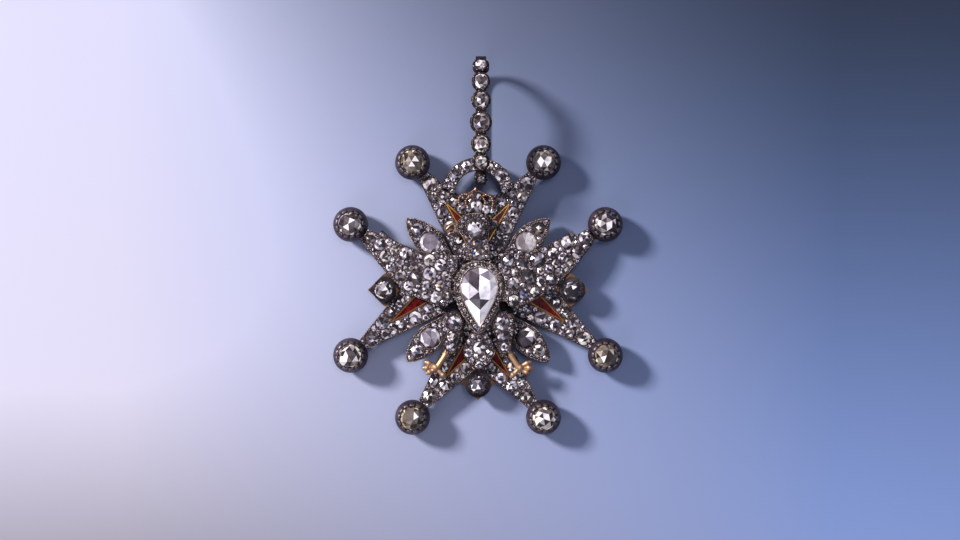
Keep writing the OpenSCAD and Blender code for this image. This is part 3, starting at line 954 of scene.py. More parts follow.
    def chip(self, seat: Seat, turn: float, reaches: Sequence[float], kind: Tones) -> None:
        """Adds a tiny stone with a table and eight sides.

        Args:
            seat: Its seat.
            turn: Its turn.
            reaches: How far its girdle goes in eight directions.
            kind: Its light.
        """
        shifts = (self.peak(self.lean, 0.0), Vector(), Vector())
        points = []
        for (share, level), shift in zip(self.chip_rings, shifts):
            for index, reach in enumerate(reaches):
                points.append(polar(share * reach, index * math.tau / 8, level) + shift)
        faces = [list(range(8))]
        tones = [kind.pick(self.rng)]
        side = 0.0
        for index in range(8):
            if index % 2 == 0 or self.rng.random() < self.chip_change:
                side = kind.pick(self.rng)
            after = (index + 1) % 8
            faces += [[index, 8 + index, 8 + after, after], side_facet(8, 8, index)]
            tones += [side, self.chip_side_tone]
        faces.append(back_facet(16, 8))
        self.add(seat.frame(turn), points, faces, tones + [self.chip_side_tone], 0.0)

    def finish(self, name: str, material: Material, body: str, slot: str, nodes: Sequence[str] = ()) -> None:
        """Makes one piece of all the stones and hands it to its body.

        Args:
            name: The piece's name.
            material: The diamond finish.
            body: The body that it moves with.
            slot: The record's slot of its finish.
            nodes: The solids that it stands for.
        """
        mesh = bpy.data.meshes.new(name)
        mesh.from_pydata([point[:] for point in self.points], [], self.faces)
        for label, values in (("tone", self.tones), ("warmth", self.warmths)):
            mesh.attributes.new(label, "FLOAT", "FACE").data.foreach_set("value", values)
        mesh.update()
        settle(make_object(name, mesh, material), body, slot, nodes)


class Crowd:
    """Stones set close together, so that the outline of each gives way to its neighbours."""

    # Millimetres in which neighbours are sought, least reach, and how far ahead a neighbour has to lie.
    sought = 2.4
    least = 0.4
    ahead = 0.05

    def __init__(self, seats: Sequence[Seat], border: KDTree, gap: float = 0.16, rim: float = 0.12) -> None:
        """Sorts the seats.

        Args:
            seats: The seats.
            border: Points along the metal's outline.
            gap: Metal left between two stones, in millimetres.
            rim: Metal left along the outline, in millimetres.
        """
        self.seats = list(seats)
        self.room = [border.find(seat.centre)[2] - rim * MM for seat in self.seats]
        self.gap = gap * MM
        self.tree = search_tree([seat.centre for seat in self.seats])

    def reaches(self, index: int, turn: float, count: int, most: float) -> list[float]:
        """How far a stone may reach in even directions.

        Args:
            index: The seat.
            turn: Angle of the first direction.
            count: Number of directions.
            most: The farthest that it may reach, as a share of its radius.

        Returns:
            The reaches, as shares of its radius.
        """
        seat = self.seats[index]
        cuts = []
        for centre, other, away in self.tree.find_range(seat.centre, seat.radius * most + self.sought * MM):
            if other != index and away > 0.0:
                share = (away * away + seat.radius ** 2 - self.seats[other].radius ** 2) / (2.0 * away)
                cuts.append(((centre - seat.centre) / away, share - self.gap / 2.0))
        farthest = min(seat.radius * most, max(self.room[index], seat.radius))
        found = []
        for step in range(count):
            way = polar(1.0, turn + step * math.tau / count)
            near = [(way.dot(side), share) for side, share in cuts]
            reach = min([farthest] + [share / along for along, share in near if along > self.ahead])
            found.append(max(self.least, reach / seat.radius))
        return found


# Repeats by Geometry Nodes


FLOAT = "NodeSocketFloat"
INTEGER = "NodeSocketInt"
GEOMETRY = "NodeSocketGeometry"


class Repeat:
    """A geometry tree with named inputs, which is baked into a plain mesh."""

    sockets: dict[str, str] = {}

    def __init__(self, name: str) -> None:
        """Builds the tree, which ends in Realize Instances and Set Material.

        Args:
            name: The tree's name.
        """
        self.group = bpy.data.node_groups.new(name, "GeometryNodeTree")
        self.tree = Tree(self.group)
        self.ids: dict[str, str] = {}
        for label, kind in {"Geometry": GEOMETRY, **self.sockets, "Material": "NodeSocketMaterial"}.items():
            made = self.group.interface.new_socket(name=label, in_out="INPUT", socket_type=kind)
            self.ids[label] = made.identifier
        self.group.interface.new_socket(name="Geometry", in_out="OUTPUT", socket_type=GEOMETRY)
        self.entry = self.group.nodes.new("NodeGroupInput")
        node = self.tree.node
        solid = node("GeometryNodeRealizeInstances", None, {0: self.build()})
        solid = node("GeometryNodeSetShadeSmooth", {"domain": "FACE"}, {0: solid, "Shade Smooth": True})
        solid = node("GeometryNodeSetMaterial", None, {"Geometry": solid, "Material": self.given("Material")})
        self.tree.feed(self.group.nodes.new("NodeGroupOutput").inputs[0], solid)

    def given(self, label: str) -> Wire:
        """Wire of a named input."""
        return Wire(self.tree, self.entry.outputs[label])

    def build(self) -> Wire:
        """Adds the tree's own nodes, up to the instances."""
        raise NotImplementedError

    def uneven(self, low: float, high: float) -> Wire:
        """Factor near 1 for each element, from the Seed and Variation inputs.

        Args:
            low: The lowest draw.
            high: The highest draw.

        Returns:
            The factor.
        """
        values = {2: low, 3: high, 8: self.given("Seed")}
        drawn = self.tree.node("FunctionNodeRandomValue", {"data_type": "FLOAT"}, values, 1)
        return 1.0 + drawn * self.given("Variation")

    def beads(self, points: Wire, scale: Wire, seed: int) -> Wire:
        """Small beads on points, each turned at random.

        Args:
            points: The points.
            scale: Their radii.
            seed: Seed of the turns.

        Returns:
            The instances.
        """
        bead = self.tree.node("GeometryNodeMeshIcoSphere", None, {"Radius": 1.0, "Subdivisions": 1})
        turns = {1: (6.0, 6.0, 6.0), 8: seed}
        turn = self.tree.node("FunctionNodeRandomValue", {"data_type": "FLOAT_VECTOR"}, turns)
        values = {"Points": points, "Instance": bead, "Scale": scale, "Rotation": turn}
        return self.tree.node("GeometryNodeInstanceOnPoints", None, values)

    def bake(self, name: str, base: Mesh, material: Material, slot: str = SILVER, **values: object) -> None:
        """Runs the tree on a mesh and hands the piece to the badge.

        Args:
            name: The piece's name.
            base: The mesh that the repeat follows.
            material: Its material.
            slot: The record's slot of its finish.
            values: Values of the tree's inputs, with _ for a space.
        """
        carrier = make_object(name + "_base", base, material)
        modifier = carrier.modifiers.new("repeat", "NODES")
        modifier.node_group = self.group
        modifier[self.ids["Material"]] = material
        for label, value in values.items():
            modifier[self.ids[label.replace("_", " ")]] = value
        mesh = baked(carrier)
        carrier.modifiers.remove(modifier)
        bpy.data.objects.remove(carrier)
        settle(make_object(name, mesh, material), BADGE, slot)


class BeadRow(Repeat):
    """Beads in a row along the lines of a mesh."""

    sockets = {"Spacing": FLOAT, "Bead Radius": FLOAT, "Variation": FLOAT, "Seed": INTEGER}

    def build(self) -> Wire:
        """Adds beads at even steps, of uneven size.

        Returns:
            The instances.
        """
        node = self.tree.node
        line = node("GeometryNodeMeshToCurve", None, {0: self.given("Geometry")})
        values = {"Curve": line, "Length": self.given("Spacing")}
        line = node("GeometryNodeResampleCurve", {"mode": "LENGTH"}, values)
        return self.beads(line, self.given("Bead Radius") * self.uneven(-1.0, 1.0), 5)


class GrainField(Repeat):
    """Grains on the points of a mesh, each as big as the point's size says."""

    sockets = {"Share": FLOAT, "Lift": FLOAT, "Variation": FLOAT, "Seed": INTEGER}

    def build(self) -> Wire:
        """Adds grains of the points' sizes, a little uneven.

        Returns:
            The instances.
        """
        node = self.tree.node
        size = node("GeometryNodeInputNamedAttribute", {"data_type": "FLOAT"}, {"Name": "size"})
        scale = size * self.given("Share") * self.uneven(-1.0, 0.0)
        lift = node("ShaderNodeCombineXYZ", None, {2: scale * self.given("Lift")})
        points = node("GeometryNodeSetPosition", None, {"Geometry": self.given("Geometry"), "Offset": lift})
        return self.beads(points, scale, 3)


class WireRow(Repeat):
    """A thin wire of uneven thickness along the lines of a mesh."""

    sockets = {"Wire Radius": FLOAT, "Variation": FLOAT, "Seed": INTEGER}

    def build(self) -> Wire:
        """Adds a five-sided wire on each line.

        Returns:
            The wires.
        """
        node = self.tree.node
        line = node("GeometryNodeMeshToCurve", None, {0: self.given("Geometry")})
        thick = self.uneven(-1.0, 1.0)
        line = node("GeometryNodeSetCurveRadius", None, {"Curve": line, "Radius": thick})
        values = {"Resolution": 5, "Radius": self.given("Wire Radius")}
        profile = node("GeometryNodeCurvePrimitiveCircle", None, values)
        values = {"Curve": line, "Profile Curve": profile, "Scale": thick, "Fill Caps": True}
        return node("GeometryNodeCurveToMesh", None, values)


class RibRing(Repeat):
    """Ribs that run down the side of a round collet, at each point of a mesh."""

    sockets = {"Count": INTEGER, "Reach": FLOAT, "Rib Radius": FLOAT, "Start": FLOAT, "Sweep": FLOAT}

    def build(self) -> Wire:
        """Adds arcs about the upright axis.

        Returns:
            The instances.
        """
        node = self.tree.node
        values = {
            "Radius": self.given("Reach"), "Start Angle": self.given("Start"),
            "Sweep Angle": self.given("Sweep"), "Resolution": 9,
        }
        arc = node("GeometryNodeCurveArc", {"mode": "RADIUS"}, values)
        values = {"Resolution": 6, "Radius": self.given("Rib Radius")}
        profile = node("GeometryNodeCurvePrimitiveCircle", None, values)
        values = {"Curve": arc, "Profile Curve": profile, "Fill Caps": True}
        rib = node("GeometryNodeCurveToMesh", None, values)
        rib = node("GeometryNodeTransform", None, {"Geometry": rib, "Rotation": (math.pi / 2, 0.0, 0.0)})
        values = {"Count": self.given("Count"), "Start Location": (0.0, 0.0, 0.0), "Offset": (0.0, 0.0, 0.0)}
        spokes = node("GeometryNodeMeshLine", None, values)
        index = node("GeometryNodeInputIndex")
        share = index.maths("DIVIDE", index, self.given("Count"))
        turn = node("ShaderNodeCombineXYZ", None, {2: share * math.tau})
        values = {"Points": spokes, "Instance": rib, "Rotation": turn}
        ring = node("GeometryNodeInstanceOnPoints", None, values)
        values = {"Points": self.given("Geometry"), "Instance": ring}
        return node("GeometryNodeInstanceOnPoints", None, values)


class Repeats:
    """Every geometry tree, built once."""

    def __init__(self) -> None:
        """Builds the trees."""
        self.beads = BeadRow("beads_along_lines")
        self.grains = GrainField("grains_on_faces")
        self.wires = WireRow("wires_along_lines")
        self.ribs = RibRing("ribs_on_collets")


# Grounds: the bare metal between the stones


class Cover:
    """Tests what lies over a point of the badge, with sizes in millimetres."""

    gap = 0.02
    reach = 30.0
    fall = 50.0

    def __init__(self, nodes: Iterable[Node]) -> None:
        """Joins the solids into one tree.

        Args:
            nodes: The solids that may cover others.
        """
        points: list[Vector] = []
        faces: list[list[int]] = []
        for node in nodes:
            first = len(points)
            points += [vert.co.copy() for vert in node.data.vertices]
            faces += [[first + index for index in face.vertices] for face in node.data.polygons]
        self.tree = BVHTree.FromPolygons(points, faces)

    def hides(self, point: Vector) -> bool:
        """Whether a solid lies straight above a point."""
        return self.tree.ray_cast(point + self.gap * MM * UP, UP, self.reach * MM)[0] is not None

    def top(self, x: float, y: float) -> Vector:
        """Highest point of the solids at a place in millimetres."""
        return self.tree.ray_cast(place(x, y, self.reach), Vector((0.0, 0.0, -1.0)), self.fall * MM)[0]


@dataclass
class Ground:
    """Faces of solids that look up, between the stones."""

    nodes: Sequence[Node]
    low: float
    high: float
    cover: Cover
    bare: bool
    steep: float = 0.95
    grid: float = 0.9
    passes: int = 9

    @staticmethod
    def hollow(point: Vector) -> bool:
        """Whether a point lies in one of the hollows where shade is painted dark."""
        return any((point.xy - place(x, y, 0.0).xy).length < radius * MM for x, y, radius in HOLLOWS)

    def top(self) -> Shape:
        """Top faces of the solids, merged.

        Returns:
            A new bmesh.
        """
        shape = merged(self.nodes)
        spare = []
        for face in shape.faces:
            face.normal_update()
            middle = face.calc_center_median().z / MM
            if face.normal.z < self.steep or not self.low < middle < self.high:
                spare.append(face)
        bmesh.ops.delete(shape, geom=spare, context="FACES")
        return shape

    def field(self) -> Mesh:
        """Mesh of the open faces, cut small so that covered ones can go.

        Returns:
            The mesh.
        """
        shape = self.top()
        for _ in range(self.passes):
            if long_edges := [edge for edge in shape.edges if edge.calc_length() > self.grid * MM]:
                bmesh.ops.subdivide_edges(shape, edges=long_edges, cuts=1)
                bmesh.ops.triangulate(shape, faces=shape.faces)
        hidden = [face for face in shape.faces if self.cover.hides(face.calc_center_median())]
        bmesh.ops.delete(shape, geom=hidden, context="FACES")
        mesh = bpy.data.meshes.new("field")
        shape.to_mesh(mesh)
        shape.free()
        return mesh

    def samples(self, step: float, rng: random.Random) -> list[Vector]:
        """Points spread over the open faces.

        Args:
            step: About how far apart they are, in millimetres.
            rng: The draw.

        Returns:
            The points.
        """
        mesh = self.field()
        mesh.calc_loop_triangles()
        found = []
        for triangle in mesh.loop_triangles:
            corners = [mesh.vertices[index].co for index in triangle.vertices]
            share = triangle.area / (step * MM) ** 2
            for _ in range(int(share) + (rng.random() < share % 1.0)):
                u, v = sorted((rng.random(), rng.random()))
                found.append(corners[0] * u + corners[1] * (v - u) + corners[2] * (1.0 - v))
        bpy.data.meshes.remove(mesh)
        return [point for point in found if not (self.bare and self.hollow(point))]

    def rims(self, step: float = 0.12) -> KDTree:
        """Tree of points along every edge of the metal, also along the seats.

        Args:
            step: Distance between the points, in millimetres.

        Returns:
            The tree.
        """
        shape = self.top()
        ends = [[vert.co for vert in edge.verts] for edge in shape.edges if len(edge.link_faces) == 1]
        points = [point for start, stop in ends for point in stretch(start, stop, step)]
        shape.free()
        return search_tree(points)

    def border(self, longest: float, step: float = 0.3) -> KDTree:
        """Tree of points along the outlines, without the seats of stones, which are shorter than longest."""
        ends = [pair for ring in self.outlines(longest) for pair in zip(ring, ring[1:] + ring[:1])]
        return search_tree([point for start, stop in ends for point in stretch(start, stop, step)])

    def outlines(self, longest: float) -> list[list[Vector]]:
        """Closed outlines of the top faces, without the seats of stones.

        Args:
            longest: Length in millimetres that a seat's outline stays under.

        Returns:
            Corner points of each outline, with the metal on their left.
        """
        shape = self.top()
        following = {}
        for edge in shape.edges:
            if len(edge.link_faces) == 1:
                loop = edge.link_loops[0]
                following[loop.vert] = loop.link_loop_next.vert
        loops: list[list[Vector]] = []
        while following:
            ring, vert = [], next(iter(following))
            while vert in following:
                ring.append(vert.co.copy())
                vert = following.pop(vert)
            if sum((a - b).length for a, b in zip(ring, ring[1:] + ring[:1])) > longest * MM:
                loops.append(ring)
        shape.free()
        return loops


@dataclass
class Packing:
    """Fills bare metal with discs that touch, the largest first."""

    ground: Ground
    seed: int
    stones: Sequence[Seat]
    step: float = 0.16
    gap: float = 0.05
    bezel: float = 0.12

    def __post_init__(self) -> None:
        """Measures how much room each spot has."""
        self.spots = np.array([spot[:] for spot in self.ground.samples(self.step, random.Random(self.seed))])
        rims = self.ground.rims()
        self.room = np.array([rims.find(spot)[2] for spot in self.spots]) - self.gap * MM
        for seat in self.stones:
            away = np.linalg.norm(self.spots[:, :2] - np.array(seat.centre[:2]), axis=1)
            self.room = np.minimum(self.room, away - seat.radius - self.bezel * MM)

    def fill(self, largest: float, smallest: float) -> list[Seat]:
        """Takes the roomiest spot again and again.

        Args:
            largest: Largest radius in millimetres.
            smallest: Smallest radius in millimetres.

        Returns:
            The places that it took.
        """
        taken: list[Seat] = []
        while len(self.spots):
            best = int(self.room.argmax())
            if self.room[best] < smallest * MM:
                break
            radius = min(float(self.room[best]), largest * MM)
            taken.append(Seat(Vector(self.spots[best]), UP, radius))
            away = np.linalg.norm(self.spots - self.spots[best], axis=1) - radius - self.gap * MM
            self.room = np.minimum(self.room, away)
        return taken


class Lines:
    """Lines for beads and wires to follow."""

    # Metres under which two points are one, the least share of a corner's bend, and millimetres that a
    # line round a stone lies over its girdle.
    same = 1e-7
    straight = 1e-6
    least_bend = 0.5
    over_girdle = 0.08

    def __init__(self, cover: Cover | None = None) -> None:
        """Starts with no line. Under a cover, lines stop where it hides them and at the hollows with painted
        shade.
        """
        self.cover = cover
        self.shape = bmesh.new()

    def add(self, points: Sequence[Vector], closed: bool = False, step: float = 0.35) -> None:
        """Adds a line in short pieces.

        Args:
            points: Its corners.
            closed: Whether it closes.
            step: Longest piece, in millimetres.
        """
        last: bmesh.types.BMVert | None = None
        ends = list(points) + ([points[0]] if closed else [])
        for start, stop in zip(ends, ends[1:]):
            for here in stretch(start, stop, step) + [stop]:
                if self.cover and (self.cover.hides(here) or Ground.hollow(here)):
                    last = None
                    continue
                if last is not None and (last.co - here).length < self.same:
                    continue
                vert = self.shape.verts.new(here)
                if last is not None:
                    self.shape.edges.new((last, vert))
                last = vert

    @staticmethod
    def inset(ring: Sequence[Vector], width: float, lift: float) -> list[Vector]:
        """Ring moved into the metal.

        Args:
            ring: A closed outline with the metal on its left.
            width: How far in, in millimetres.
            lift: How far up, in millimetres.

        Returns:
            The moved ring.
        """
        moved = []
        for index, here in enumerate(ring):
            before, after = ring[index - 1], ring[(index + 1) % len(ring)]
            along = (here - before).normalized() + (after - here).normalized()
            if along.length < Lines.straight:
                along = after - before
            along.z = 0.0
            along.normalize()
            side = Vector((-along.y, along.x, 0.0))
            ahead = Vector((-(after - here).y, (after - here).x, 0.0)).normalized()
            bend = max(Lines.least_bend, side.dot(ahead))
            moved.append(here + side * (width * MM / bend) + UP * (lift * MM))
        return moved

    def around(self, seat: Seat, turn: float, reaches: Sequence[float], grow: float) -> None:
        """Adds the outline of a stone.

        Args:
            seat: The stone's seat.
            turn: Its turn.
            reaches: How far its girdle goes in even directions.
            grow: How far outside its girdle the line runs, in millimetres.
        """
        frame = seat.frame(turn)
        more, lift = grow * MM / seat.radius, self.over_girdle * MM / seat.radius
        sector = math.tau / len(reaches)
        ring = [polar(reach + more, index * sector, lift) for index, reach in enumerate(reaches)]
        self.add([frame @ point for point in ring], True, 1.0)

    def mesh(self) -> Mesh:
        """Mesh of the lines, which empties them.

        Returns:
            The mesh.
        """
        mesh = bpy.data.meshes.new("lines")
        self.shape.to_mesh(mesh)
        self.shape.free()
        return mesh


# Sub-assemblies


@dataclass
class Workshop:
    """What every sub-assembly needs: the frame's solids, the finishes, the repeats and the cover."""

    nodes: dict[str, Node]
    finishes: Finishes
    repeats: Repeats
    cover: Cover


@dataclass
class Assembly:
    """A sub-assembly of the badge, made in the workshop that all of them share."""

    shop: Workshop

    def seats(self, name: str) -> list[Seat]:
        """Seats of a node's stones."""
        return Seat.read(self.shop.nodes[name])

    def paint(self, names: Iterable[str], material: Material) -> None:
        """Gives solids of the frame a finish.

        Args:
            names: The nodes.
            material: The finish.
        """
        for name in names:
            data = self.shop.nodes[name].data
            data.materials.clear()
            data.materials.append(material)
            LOG.info("%s: %s", name, material.name)

    def rose_stones(
        self, stones: Sequence[RoseStone], body: str, slot: str, seed: int, widen: float,
        rises: Sequence[float],
    ) -> None:
        """Cuts large rose stones, each as a piece of its own.

        Args:
            stones: The stones.
            body: The body that they move with.
            slot: Their slot.
            seed: Seed of their draws.
            widen: How much wider they are than their solids.
            rises: Heights of their point, star, middle ring, girdle and flat back.
        """
        for index, stone in enumerate(stones):
            facets = Facets(seed + index)
            for seat in self.seats(stone.node):
                facets.star(Seat(seat.centre, seat.face, seat.radius * widen), stone, rises)
            facets.finish(stone.node + "_cut", self.shop.finishes.large_diamond, body, slot, [stone.node])

    def wire(
        self, name: str, points: Sequence[Vector], radius: float, finish: Material, slot: str = SILVER,
        uneven: float = 0.3, seed: int = 8, closed: bool = False,
    ) -> None:
        """Runs a wire along a line.

        Args:
            name: The piece's name.
            points: Corners of the line.
            radius: The wire's radius in millimetres.
            finish: Its finish.
            slot: Its slot.
            uneven: How much its thickness varies.
            seed: Seed of its thickness.
            closed: Whether the line closes.
        """
        lines = Lines()
        lines.add(points, closed)
        wires = self.shop.repeats.wires
        wires.bake(name, lines.mesh(), finish, slot, Wire_Radius=radius * MM, Variation=uneven, Seed=seed)


@dataclass
class FieldStones(Assembly):
    """The small stones of one field, each over its own seat."""

    node: str
    seed: int
    # Spots where the stones are painted as white glints or as dark stones.
    bright: Sequence[Spot] = ()
    dull: Sequence[Spot] = ()
    pairs: Sequence[tuple[Tones, Tones]] = (
        (Tones.DARK, Tones.BRIGHT), (Tones.DARK, Tones.BRIGHT), (Tones.BRIGHT, Tones.DARK),
        (Tones.LIVELY, Tones.LIVELY),
    )
    cut: Cut = (0.48, 0.34, 0.58, -0.22)
    grown: float = 0.24
    large: float = 1.5
    near: float = 1.2
    most: float = 1.12
    margin: float = 0.2
    outline: float = 0.07
    tints: tuple[float, ...] = (0.0, 0.0, 0.1, 0.25)
    white_tint: float = 0.05

    def grown_seats(self, border: KDTree) -> list[Seat]:
        """Seats of the stones, grown over their seats' edges where the metal has room.

        Args:
            border: Points along the metal's outline.

        Returns:
            The seats.
        """
        grown = []
        for seat in self.seats(self.node):
            wish = seat.radius + (self.grown if seat.radius < self.large * MM else self.grown / 3.0) * MM
            room = border.find(seat.centre)[2] - self.margin * MM
            grown.append(Seat(seat.centre, seat.face, max(seat.radius, min(wish, room))))
        return grown

    def build(self, crowd: Crowd, indices: range, lines: Lines) -> None:
        """Cuts the stones.

        Args:
            crowd: The seats of the whole field.
            indices: Numbers of this field's seats there.
            lines: Takes the outlines of the stones.
        """
        facets = Facets(self.seed)
        for index in indices:
            seat = crowd.seats[index]
            middle, rim = facets.rng.choice(self.pairs)
            for spots, known in ((self.bright, Tones.WHITE), (self.dull, Tones.DARK)):
                if any((seat.centre - place(x, y, 0.0)).xy.length < self.near * MM for x, y in spots):
                    middle = rim = known
            turn = facets.rng.uniform(0.0, math.tau)
            reaches = crowd.reaches(index, turn, 12, self.most)
            warmth = self.white_tint if middle is Tones.WHITE else facets.rng.choice(self.tints)
            facets.rose(seat, turn, reaches, middle, rim, warmth, self.cut)
            lines.around(seat, turn, reaches, self.outline)
        facets.finish(self.node + "_cut", self.shop.finishes.diamond, BADGE, "small_diamond", [self.node])


@dataclass
class Paving(Assembly):
    """Small stones, chips, grains and edge beads on the bare metal of some solids."""

    name: str
    solids: Sequence[str]
    low: float
    high: float
    seed: int
    fields: Sequence[FieldStones] = ()
    bare: bool = False
    ledge_drop: float = 0.0
    edge_bead: float = 0.17
    bright_edge: bool = False
    chip: float = 0.85
    chip_low: float = 0.3
    chip_most: float = 1.2
    chip_outline: float = 0.06
    chip_seed: int = 40
    jewel: float = 0.5
    jewel_cut: Cut = (0.42, 0.3, 0.6, -0.2)
    grain: float = 0.2
    grain_low: float = 0.09
    edge_spacing: float = 0.40
    edge_inset: float = 0.16
    longest_seat: float = 22.0
    bezel: float = 0.1

    def build(self) -> None:
        """Makes the pieces and hands them to the badge."""
        finishes, repeats = self.shop.finishes, self.shop.repeats
        solids = [self.shop.nodes[name] for name in self.solids]
        ground = Ground(solids, self.low, self.high, self.shop.cover, self.bare)
        border = ground.border(self.longest_seat)
        groups = [stones.grown_seats(border) for stones in self.fields]
        seats = [seat for group in groups for seat in group]
        packing = Packing(ground, self.seed, seats)
        crowd = Crowd(seats + packing.fill(self.chip, self.chip_low), border)
        lines = Lines()
        first = 0
        for stones, group in zip(self.fields, groups):
            stones.build(crowd, range(first, first + len(group)), lines)
            first += len(group)
        self.chips(crowd, first, lines)
        grains = packing.fill(self.grain, self.grain_low)
        mesh = bpy.data.meshes.new("spots")
        mesh.from_pydata([spot.centre[:] for spot in grains], [], [])
        sizes = [spot.radius for spot in grains]
        mesh.attributes.new("size", "FLOAT", "POINT").data.foreach_set("value", sizes)
        values = {"Share": 1.15, "Lift": 0.6, "Variation": 0.3, "Seed": self.seed}
        repeats.grains.bake(self.name + "_grains", mesh, finishes.grains, **values)
        edges = Lines(self.shop.cover)
        for ring in ground.outlines(self.longest_seat):
            inset = -self.edge_inset if self.ledge_drop else self.edge_inset
            edges.add(edges.inset(ring, inset, -self.ledge_drop), True)
        finish = finishes.grains if self.bright_edge else finishes.bezels
        values = {"Spacing": self.edge_spacing * MM, "Bead_Radius": self.edge_bead * MM, "Variation": 0.4}
        repeats.beads.bake(self.name + "_edges", edges.mesh(), finish, Seed=self.seed, **values)
        values = {"Wire_Radius": self.bezel * MM, "Variation": 0.5, "Seed": self.seed}
        repeats.wires.bake(self.name + "_bezels", lines.mesh(), finishes.bezels, **values)

    def chips(self, crowd: Crowd, first: int, lines: Lines) -> None:
        """Cuts the tiny stones.

        Args:
            crowd: The seats of the whole field.
            first: Number of the first chip there.
            lines: Takes the outlines of the larger ones.
        """
        facets = Facets(self.seed + self.chip_seed)
        for index in range(first, len(crowd.seats)):
            seat = crowd.seats[index]
            turn = facets.rng.uniform(0.0, math.tau)
            if seat.radius > self.jewel * MM:
                reaches = crowd.reaches(index, turn, 12, self.chip_most)
                facets.rose(seat, turn, reaches, Tones.LIVELY, Tones.LIVELY, 0.0, self.jewel_cut)
                lines.around(seat, turn, reaches, self.chip_outline)
            else:
                facets.chip(seat, turn, crowd.reaches(index, turn, 8, self.chip_most), Tones.CHIPS)
        facets.finish(self.name + "_chips", self.shop.finishes.diamond, BADGE, "small_diamond")


@dataclass
class Rims(Assembly):
    """Rims and claws round large stones. A drawn-in rim leaves an oval of the stone open."""

    name: str
    body: str
    stones: Sequence[str]
    count: int
    claw: float
    inner: float = 0.02
    outer: float = 0.24
    low: float = -0.35
    high: float = 0.2
    drawn_in: float = 0.0
    wire_steps: int = 40
    claw_shares: tuple[float, ...] = (1.5, 0.55, 0.8)
    claw_turn: float = 0.3
    claw_lift: float = 0.02

    def build(self, material: Material, clawed: Material) -> None:
        """Makes the rims of all the stones as one piece and their claws as another.

        Args:
            material: Finish of the rims.
            clawed: Finish of the claws.
        """
        rims, claws = bmesh.new(), bmesh.new()
        for seat in (seat for name in self.stones for seat in self.seats(name)):
            self.rim(rims, seat)
            self.claws(claws, seat)
        settle(from_bmesh(self.name, rims, material, smooth=True), self.body, SILVER)
        settle(from_bmesh(self.name + "_claws", claws, clawed, smooth=True), self.body, SILVER)

    def rim(self, shape: Shape, seat: Seat) -> None:
        """Adds a rim with a rounded top.

        Args:
            shape: The piece.
            seat: The stone's seat.
        """
        frame = seat.frame(0.0, 1.0)
        rings = []
        for index in range(self.wire_steps):
            spoke = index * math.tau / self.wire_steps
            reach = self.drawn_in * math.cos(spoke) ** 2 * seat.radius
            inner, outer, low = self.inner * MM - reach, self.outer * MM, self.low * MM
            middle, top = (inner + outer * 2.0) / 3.0, self.high * MM + reach * 0.5
            shoulder = (outer, self.high * 0.4 * MM)
            profile = ((outer, low), shoulder, (middle, top * 0.9), (inner, top), (inner, low))
            rings.append([frame @ polar(seat.radius + grow, spoke, level) for grow, level in profile])
        skin(shape, rings)

    def claws(self, shape: Shape, seat: Seat) -> None:
        """Adds claws that lean over the girdle.

        Args:
            shape: The piece.
            seat: The stone's seat.
        """
        reach = seat.radius / MM + self.outer * 0.5
        size = Matrix.Diagonal([self.claw * share for share in self.claw_shares] + [1.0])
        for index in range(self.count):
            spoke = Matrix.Rotation((index + self.claw_turn) * math.tau / self.count, 4, "Z")
            frame = seat.frame(0.0, 1.0) @ spoke @ Matrix.Scale(MM, 4)
            made = bmesh.ops.create_icosphere(shape, subdivisions=1, radius=1.0)
            matrix = frame @ Matrix.Translation((reach, 0.0, self.claw_lift)) @ size
            bmesh.ops.transform(shape, matrix=matrix, verts=made["verts"])


@dataclass
class Domes(Assembly):
    """Smooth round collets over the cross's balls, with shallow flutes that run up to the claws."""

    along: float = 35.2
    across: float = 18.1
    height: float = 4.2
    reach: float = 4.83
    lip: float = 3.45
    low: float = 59.8
    steps: int = 12
    flutes: int = 13
    flute_steps: int = 8
    flute_edge: float = 0.35
    flute_low: float = 1.2
    flute_rise: float = 2.2
    depth: float = 0.34

    def build(self) -> None:
        """Makes the eight domes as one piece."""
        shape = bmesh.new()
        for turn in range(4):
            for side in (-1.0, 1.0):
                spot = Vector((side * self.across, self.along, self.height))
                self.dome(shape, Matrix.Rotation(turn * math.pi / 2, 4, "Z") @ spot, turn + side * 0.3)
        bmesh.ops.recalc_face_normals(shape, faces=shape.faces)
        settle(from_bmesh("ball_domes", shape, self.shop.finishes.domes, smooth=True), BADGE, SILVER)

    def profile(self) -> list[tuple[float, float, float]]:
        """Outline of a dome from its foot to its lip and back inside.

        Returns:
            Reach, height and share of the flutes at each corner.
        """
        top = math.acos(self.lip / self.reach)
        shares = [index / self.steps for index in range(self.steps + 1)]
        rises = [top * share - math.radians(self.low) * (1.0 - share) for share in shares]
        levels = [(self.reach * math.cos(rise), self.reach * math.sin(rise), 1.0) for rise in rises]
        foot, crown = levels[0], levels[-1][1]
        inside = (self.lip - 0.06, crown - 0.1, 0.0), (self.lip - 0.1, crown - 1.0, 0.0)
        return [*levels, *inside, (foot[0] - 0.5, foot[1] + 0.3, 0.0)]

    def dome(self, shape: Shape, spot: Vector, start: float) -> None:
        """Adds one dome.

        Args:
            shape: The piece.
            spot: Its middle, in millimetres.
            start: Where its flutes start.
        """
        levels = self.profile()
        count = self.flutes * self.flute_steps
        rings = []
        for index in range(count):
            spoke = start + index * math.tau / count
            groove = 1.0 - abs(math.sin(index * math.pi / self.flute_steps)) ** self.flute_edge
            ring = []
            for reach, level, share in levels:
                fade = share * max(0.0, (level - self.flute_low) / self.flute_rise) * self.depth * groove
                x, y = (reach - fade) * math.cos(spoke), (reach - fade) * math.sin(spoke)
                ring.append(place(spot.x + x, spot.y + y, spot.z + level - fade * 0.5))
            rings.append(ring)
        skin(shape, rings)


